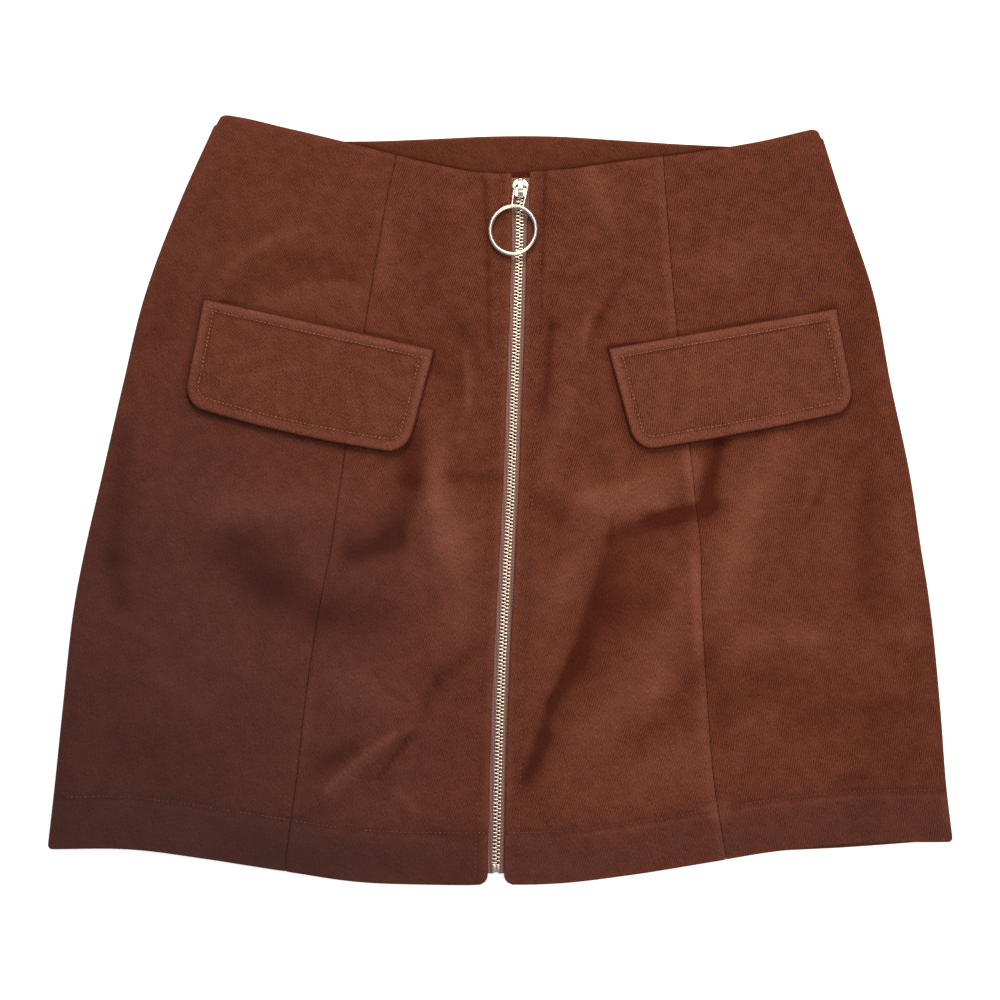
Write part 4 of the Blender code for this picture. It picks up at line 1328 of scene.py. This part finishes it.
@dataclass
class Stitching:
    """Lockstitching: the stitches that show, sunk at both ends where the thread dives.

    finish is the thread's on the flaps, and dark the same thread darkened with painted shade, beside the
    zip and along the hem.
    """

    form: SkirtForm
    finish: Material
    dark: Material
    pitch: float = 2.4
    length: float = 1.5
    thread: float = 0.65

    def model_stitch(self) -> Mesh:
        """Models one stitch along X, bowed up at its middle.

        Returns:
            Its mesh, in millimetres.
        """
        only()
        bpy.ops.mesh.primitive_cylinder_add(
            vertices=8, radius=self.thread / 2, depth=self.length * 0.5, rotation=(0, pi / 2, 0)
        )
        stitch = settle(bpy.context.active_object)
        for end in (-1, 1):
            pick(stitch, "FACE", lambda co: co.x * end > self.length * 0.24)
            for out, down, size in ((0.16, -0.06, 0.85), (0.09, -0.12, 0.5)):
                bpy.ops.mesh.extrude_region_move(
                    TRANSFORM_OT_translate={"value": (end * self.length * out, 0, down)}
                )
                bpy.ops.transform.resize(value=(1, size, size))
            to_object_mode()
        return take_mesh(stitch)

    def run(
        self, name: str, paths: list[Net], height: Callable[[Net, Net], Net], finish: Material,
        face: float = 1.0, raised: float = -0.1,
    ) -> Object:
        """Lays stitches along one or more paths.

        Args:
            name: what they hold, for the piece's name.
            paths: the paths, as close rows of x and y.
            height: the cloth's height at x and y.
            finish: the thread's finish.
            face: 1 on top of the cloth, and -1 under it.
            raised: how far the thread's middle lies out of the cloth, as a share of its thickness;
                below 0, the brushed cloth half swallows it.

        Returns:
            The piece.
        """
        origins, axes = [], []
        for path in paths:
            points = np.column_stack([path, height(path[:, 0], path[:, 1])])
            gone = np.concatenate([[0], np.cumsum(np.linalg.norm(np.diff(points, axis=0), axis=1))])
            middles = np.arange(self.pitch / 2, gone[-1] - self.pitch / 2, self.pitch)
            start, end = (
                np.stack([np.interp(middles + d, gone, points[:, k]) for k in range(3)], axis=-1)
                for d in (-self.length / 2, self.length / 2)
            )
            along = end - start
            along /= np.linalg.norm(along, axis=1)[:, None]
            side = np.cross(np.array((0.0, 0.0, face)), along)
            side /= np.linalg.norm(side, axis=1)[:, None]
            up = np.cross(along, side)
            origins.append((start + end) / 2 + up * self.thread * raised)
            axes.append(np.stack([along, side, up], axis=1))
        origins, axes = np.concatenate(origins), np.concatenate(axes)
        return strew("stitching_" + name, self.stitch, origins, axes, finish)

    def build(self, flaps: list[PocketFlap]) -> list[Object]:
        """Sews the skirt.

        Args:
            flaps: the two flaps, already built.

        Returns:
            The stitching's pieces.
        """
        form, pieces, low = self.form, [], self.thread * 0.75
        self.stitch = self.model_stitch()
        hem, waist, zip_line = form.edge("hem"), form.edge("waist"), form.line("zip")
        for hand in Hand:
            y = np.linspace(-214.0, 181.0, 600)
            x = zip_line(y) + hand.sign * form.stitched_half[hand]
            beside_zip = np.stack([x, y], axis=-1)[(y > hem(x) + 2.5) & (y < waist(x) - 1.5)]
            start = zip_line(-190.0) + hand.sign * (form.sizes.opening_half + 1.5)
            end = form.line("side_" + hand.value)(-170.0) - hand.sign * 5.0
            x = np.linspace(start, end, 500)
            along_hem = np.stack([x, hem(x) + form.hem_stitch], axis=-1)
            for name, path in (("zip_", beside_zip), ("hem_", along_hem)):
                pieces.append(self.run(name + hand.value, [path], form.front_height, self.dark))
        for flap in flaps:
            name, paths = "flap_" + flap.hand.value, flap.stitch_paths()
            pieces.append(self.run(name, paths, flap.height, self.finish, raised=0.16))
        x = np.linspace(-238.0, 238.0, 900)
        path = np.stack([x, form.edge("back_hem")(x) + form.hem_stitch], axis=-1)
        under = self.run("hem_back", [path], lambda x, y: 0.0 * x + low, self.finish, -1.0, 0.16)
        return [*pieces, under]


# ---- The zip ----


@dataclass
class ZipChain:
    """One row of metal teeth, a pitch of 2 mm apart, which meets the other row like a ladder."""

    form: SkirtForm
    finish: Material
    hand: Hand
    pitch: float = 2.0
    tooth_long: float = 0.98
    head_past_middle: float = 0.5
    deep: float = 1.9

    def model_tooth(self) -> Mesh:
        """Models one tooth across X: its head past the zip's middle, its legs on the tape.

        Returns:
            Its mesh, in millimetres.
        """
        half, head, side = self.form.sizes.chain_half, -self.head_past_middle, self.tooth_long / 2
        tooth = add_box((head, -side, 0), (half, side, self.deep))
        pick(tooth, "FACE", lambda co: co.x < head + 0.01)
        bpy.ops.transform.resize(value=(1.0, 0.78, 0.72))
        pick(tooth, "FACE", lambda co: co.x > half - 0.01)
        bpy.ops.transform.resize(value=(1.0, 0.9, 0.86))
        return take_mesh(bevel(tooth, 0.17, 2))

    def build(self) -> Object:
        """Builds the row.

        Returns:
            The piece.
        """
        form, sizes, side = self.form, self.form.sizes, self.hand.value
        shift = 0.0 if self.hand is Hand.LEFT else self.pitch / 2
        low = sizes.bottom + sizes.stop_length + 1.2 + shift
        y = np.arange(low, sizes.chain_top, self.pitch)
        origins = np.column_stack([form.line("zip")(y), y, form.zip_level(y) + 0.05])
        axes = np.tile(np.diag([self.hand.sign, 1.0, 1.0]), (len(y), 1, 1))
        row = strew("teeth_" + side, self.model_tooth(), origins, axes, self.finish)
        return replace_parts(row, "zip_chain_" + side)


@dataclass
class BottomStop:
    """The stop at the hem: two bars clamped side by side over the ends of both rows."""

    form: SkirtForm
    finish: Material
    raise_by: float = 0.6
    apart: float = 0.04
    reach: float = 2.1
    deep: float = 2.3
    round_by: float = 0.42

    def build(self) -> Object:
        """Builds the stop.

        Returns:
            The piece.
        """
        sizes = self.form.sizes
        y, half = sizes.bottom + self.raise_by + sizes.stop_length / 2, sizes.stop_length / 2
        x, level = float(self.form.line("zip")(y)), float(self.form.zip_level(y)) - 0.05
        bars = []
        for near, far in ((-self.reach, -self.apart), (self.apart, self.reach)):
            low, high = (x + near, y - half, level), (x + far, y + half, level + self.deep)
            bar = add_box(Vector(low) * MM, Vector(high) * MM)
            bars.append(bevel(bar, self.round_by * MM, 4))
        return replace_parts(join("stop", bars, self.finish), "zip_bottom_stop")


@dataclass
class Slider:
    """The slider: a round-headed cover over the teeth, a plate under them, and a bridge."""

    form: SkirtForm
    finish: Material
    bridge_width: float = 3.2
    bridge_deep: float = 1.0
    rail: float = 1.0
    voxel: float = 0.17
    bar_radius: float = 0.7

    @property
    def cover_level(self) -> float:
        """The height of the cover's underside, just over the teeth."""
        sizes = self.form.sizes
        return float(self.form.zip_level(sizes.middle_y)) + sizes.chain_deep + self.form.gap

    @property
    def pivot_level(self) -> float:
        """The height of the ring pull's bar."""
        sizes = self.form.sizes
        return self.cover_level + sizes.cover + sizes.bar_clear + self.bar_radius

    def shape_plate(self, level: float, deep: float) -> Object:
        """Models a plate in the slider's plan: a round head, and sides that narrow to the tail.

        Args:
            level: its underside.
            deep: its thickness.

        Returns:
            The plate.
        """
        sizes = self.form.sizes
        head, x = sizes.head_width / 2, float(self.form.line("zip")(sizes.middle_y))
        place = Vector((x, sizes.middle_y + sizes.length / 2 - head, level)) * MM
        only()
        bpy.ops.mesh.primitive_circle_add(
            vertices=48, radius=head * MM, fill_type="NGON", location=place
        )
        plate = bpy.context.active_object
        pick(plate, "VERT", lambda co: co.y < -0.05 * MM)
        tail = sizes.length - head - 0.45 * head
        bpy.ops.transform.resize(value=(0.84, 0.45, 1.0), center_override=place)
        bpy.ops.transform.translate(value=(0, -tail * MM, 0))
        bpy.ops.mesh.select_all(action="SELECT")
        bpy.ops.mesh.extrude_region_move(TRANSFORM_OT_translate={"value": (0, 0, deep * MM)})
        to_object_mode()
        return plate

    def shape_bridge(self) -> Object:
        """Models the bridge that holds the pull: a strap that arches over the cover.

        Returns:
            The bridge.
        """
        sizes = self.form.sizes
        x, y = float(self.form.line("zip")(sizes.middle_y)), sizes.middle_y + 0.1
        crest = self.pivot_level + self.bar_radius + sizes.bar_clear + self.bridge_deep / 2
        foot = self.cover_level + sizes.cover / 2
        only()
        bpy.ops.mesh.primitive_grid_add(x_subdivisions=4, y_subdivisions=28, size=1.0)
        bridge = bpy.context.active_object
        bridge.location = (x * MM, y * MM, 0)
        bridge.scale = (self.bridge_width * MM, 9.2 * MM, 1.0)
        settle(bridge)
        for vert in bridge.data.vertices:
            out = min(1.0, abs(vert.co.y / MM - y) / 4.6)
            vert.co.z = (foot + (crest - foot) * (1 - out**3.4) ** 0.55) * MM
        wall = bridge.modifiers.new("strap", "SOLIDIFY")
        wall.thickness, wall.offset = self.bridge_deep * MM, 0.0
        bpy.ops.object.modifier_apply(modifier=wall.name)
        return bridge

    def build(self) -> Object:
        """Builds the slider.

        Returns:
            The piece.
        """
        form, sizes, cover = self.form, self.form.sizes, self.cover_level
        x, y = float(form.line("zip")(sizes.middle_y)), sizes.middle_y
        under = form.cloth + form.facing_cloth + 2 * form.gap
        parts = [self.shape_plate(cover, sizes.cover), self.shape_plate(under, sizes.plate)]
        rail = cover - self.rail
        for low, high in (
            ((x - 1.2, y - 1.0, under + 0.4), (x + 1.2, y + 3.4, cover + 0.5)),
            ((x - 4.1, y - 4.0, rail), (x - 3.2, y + 2.0, cover + 0.5)),
            ((x + 3.2, y - 4.0, rail), (x + 4.1, y + 2.0, cover + 0.5)),
        ):
            parts.append(bevel(add_box(Vector(low) * MM, Vector(high) * MM), 0.2 * MM, 2))
        parts.append(self.shape_bridge())
        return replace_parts(cast_together("slider", parts, self.voxel, self.finish), "zip_slider")


@dataclass
class RingPull:
    """The one-piece pull: a bar through the bridge, two legs and a finger ring."""

    slider: Slider
    finish: Material
    pivot: Point = (12.2, 174.8)
    leg_half_span: float = 3.6
    half_width: float = 13.05
    half_length: float = 13.9
    band: float = 2.3
    deep: float = 2.0
    reach: float = 26.9
    lean: float = 10.5
    tip: float = 1.5
    voxel: float = 0.2

    def frame(self) -> Matrix:
        """The pull's own axes and place: X along its bar, Y from the ring to the bar, Z up."""
        lean, tip = radians(self.lean), radians(self.tip)
        along = Vector((cos(lean), -sin(lean), 0.0))
        back = Vector((sin(lean) * cos(tip), cos(lean) * cos(tip), sin(tip)))
        place = Vector((*self.pivot, self.slider.pivot_level)) * MM
        turned = Matrix((along, back, along.cross(back))).transposed()
        return Matrix.Translation(place) @ turned.to_4x4()

    def shape_legs(self) -> Object:
        """Models the bar and legs from one bent wire.

        Returns:
            The wire, in the pull's own axes.
        """
        half, foot, corner = self.leg_half_span, self.leg_half_span - 0.5, 0.9
        out = self.reach - self.half_length
        right = [(half - corner, 0.0), (half, -corner - 0.4), (half, -out * 0.5), (foot, -out - 0.7)]
        path = [(-x, y) for x, y in right[::-1]] + right
        curve = bpy.data.curves.new("legs", "CURVE")
        curve.dimensions, curve.use_fill_caps = "3D", True
        curve.bevel_depth, curve.bevel_resolution = self.slider.bar_radius * MM, 4
        spline = curve.splines.new("POLY")
        spline.points.add(len(path) - 1)
        for point, (x, y) in zip(spline.points, path):
            point.co = (x * MM, y * MM, 0.0, 1.0)
        legs = bpy.data.objects.new("legs", curve)
        bpy.context.scene.collection.objects.link(legs)
        only(legs)
        bpy.ops.object.convert(target="MESH")
        return bpy.context.active_object

    def build(self) -> Object:
        """Builds the pull.

        Returns:
            The piece.
        """
        only()
        bpy.ops.mesh.primitive_torus_add(
            major_radius=self.half_width * MM, minor_radius=self.band / 2 * MM,
            major_segments=120, minor_segments=20, location=(0, -self.reach * MM, 0),
        )
        ring = bpy.context.active_object
        ring.scale = (1.0, self.half_length / self.half_width, self.deep / self.band)
        parts = [ring, self.shape_legs()]
        piece = cast_together("finger_ring_pull", parts, self.voxel, self.finish)
        piece.matrix_world = self.frame()
        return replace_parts(settle(piece), "pull_ring")


# ---- The studio ----


@dataclass
class Studio:
    """A pale floor, soft light from large panels and a camera nearly straight above."""

    paper: Material
    distance: float = 0.62
    elevation: float = 85.0
    target: Place = (-0.00017, -0.00647, 0.004)
    lens: float = 39.59
    daylight: float = 0.36

    def add_panel(self, name: str, place: Place, size: float, power: float, colour: str) -> None:
        """Adds a square light panel that faces the skirt.

        Args:
            name: its name.
            place: where it stands, in metres.
            size: its side, in metres.
            power: its light, in watts.
            colour: its colour.
        """
        light = bpy.data.lights.new(name, "AREA")
        light.shape, light.size, light.energy = "SQUARE", size, power
        light.color = linear(colour)[:3]
        panel = bpy.data.objects.new(name, light)
        panel.location = place
        panel.rotation_euler = (-Vector(place)).to_track_quat("-Z", "Y").to_euler()
        panel.visible_camera = False
        bpy.context.scene.collection.objects.link(panel)

    def build(self) -> None:
        """Builds the studio."""
        only()
        bpy.ops.mesh.primitive_plane_add(size=4.0, location=(0, 0, -0.0002))
        floor = settle(bpy.context.active_object)
        floor.name = "backdrop"
        floor.data.materials.append(self.paper)
        self.add_panel("panel_over_the_front", (0.16, -0.1, 0.4), 0.3, 1.1, "#FFE4BC")
        self.add_panel("window_past_the_waist", (0.0, 0.62, 0.6), 0.5, 6.9, "#FFE8C8")
        world = bpy.data.worlds.new("daylight")
        world.use_nodes = True
        sky = {"Color": linear("#C6DAFF"), "Strength": self.daylight}
        set_inputs(world.node_tree.nodes["Background"], sky)
        scene, camera = bpy.context.scene, bpy.data.cameras.new("camera")
        scene.world, scene.view_settings.view_transform = world, "Standard"
        camera.lens, camera.sensor_width = self.lens, 36.0
        scene.camera = bpy.data.objects.new("camera", camera)
        tilt = radians(self.elevation)
        offset = Vector((0.0, -cos(tilt), sin(tilt))) * self.distance
        scene.camera.location = Vector(self.target) + offset
        scene.camera.rotation_euler = (pi / 2 - tilt, 0.0, 0.0)
        scene.collection.objects.link(scene.camera)


# ---- The skirt ----


def main() -> None:
    """Builds the skirt's pieces in order, and reports each."""
    logging.basicConfig(level=logging.INFO, format="%(name)s: %(message)s")
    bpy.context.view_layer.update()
    form, metal, tape = SkirtForm(), PlatedMetal().material(), WovenTape().material()
    twill = BrushedTwill().material()
    facing = BrushedTwill("cotton_twill_facing", face="#5F3424").material()
    thread = SpunThread().material()
    # the same thread darkened as painted shade, for the stitching that lies in the grooves beside the
    # zip and along the hem
    deep = SpunThread("polyester_thread_in_shade", light="#6E4234", dark="#4A261B").material()
    Studio(BackdropPaper().material()).build()
    laid = {"form": form, "finish": twill}
    flaps = [
        PocketFlap(
            hand=Hand.LEFT, top_left=(-169.7, 109.2), top_right=(-37.0, 79.5),
            bottom_right=(-52.4, 18.8), bottom_left=(-179.8, 47.2), bow=3.0, grain=58.0,
            cut=(0.136, 0.066), **laid,
        ),
        PocketFlap(
            hand=Hand.RIGHT, top_left=(61.0, 80.0), top_right=(192.2, 103.4),
            bottom_right=(201.2, 44.0), bottom_left=(76.1, 20.2), bow=1.3, grain=82.0,
            cut=(0.133, 0.066), **laid,
        ),
    ]
    cloth = [BackPanel(grain=68.0, cut=(0.50, 0.425), area=0.181, **laid), *flaps]
    grains = {Hand.LEFT: (62.0, 70.0), Hand.RIGHT: (79.0, 72.0)}
    for hand, (side, centre) in grains.items():
        for grain, is_centre, cut, area in (
            (side, False, (0.145, 0.425), 0.0525), (centre, True, (0.122, 0.41), 0.0385)
        ):
            cloth.append(
                FrontPanel(hand=hand, centre=is_centre, grain=grain, cut=cut, area=area, **laid)
            )
    at_waist = BackFacing(form=form, finish=facing, grain=67.0, cut=(0.352, 0.038), area=0.0128)
    pieces = [(panel.build(), SKIRT, "brushed_twill") for panel in cloth]
    pieces.append((at_waist.build(), SKIRT, "facing_twill"))
    for hand in Hand:
        woven = {"grain": 90.0 - hand.sign, "cut": (0.0112, 0.3922)}
        band = ZipTape(form=form, finish=tape, hand=hand, **woven)
        pieces.append((band.build(), SKIRT, "zip_tape"))
        pieces.append((ZipChain(form, metal, hand).build(), SKIRT, "nickel"))
    slider = Slider(form, metal)
    pieces += [(BottomStop(form, metal).build(), SKIRT, "nickel"), (slider.build(), SKIRT, "nickel")]
    pieces.append((RingPull(slider, metal).build(), PULL, "nickel"))
    sewing = Stitching(form, thread, deep).build(flaps)
    pieces += [(run, SKIRT, "brushed_twill") for run in sewing]
    for piece, body, slot in pieces:
        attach(piece, body)
        log.info("%s rides on %s, %d faces", piece.name, body, len(piece.data.polygons))


if __name__ == "__main__":
    main()
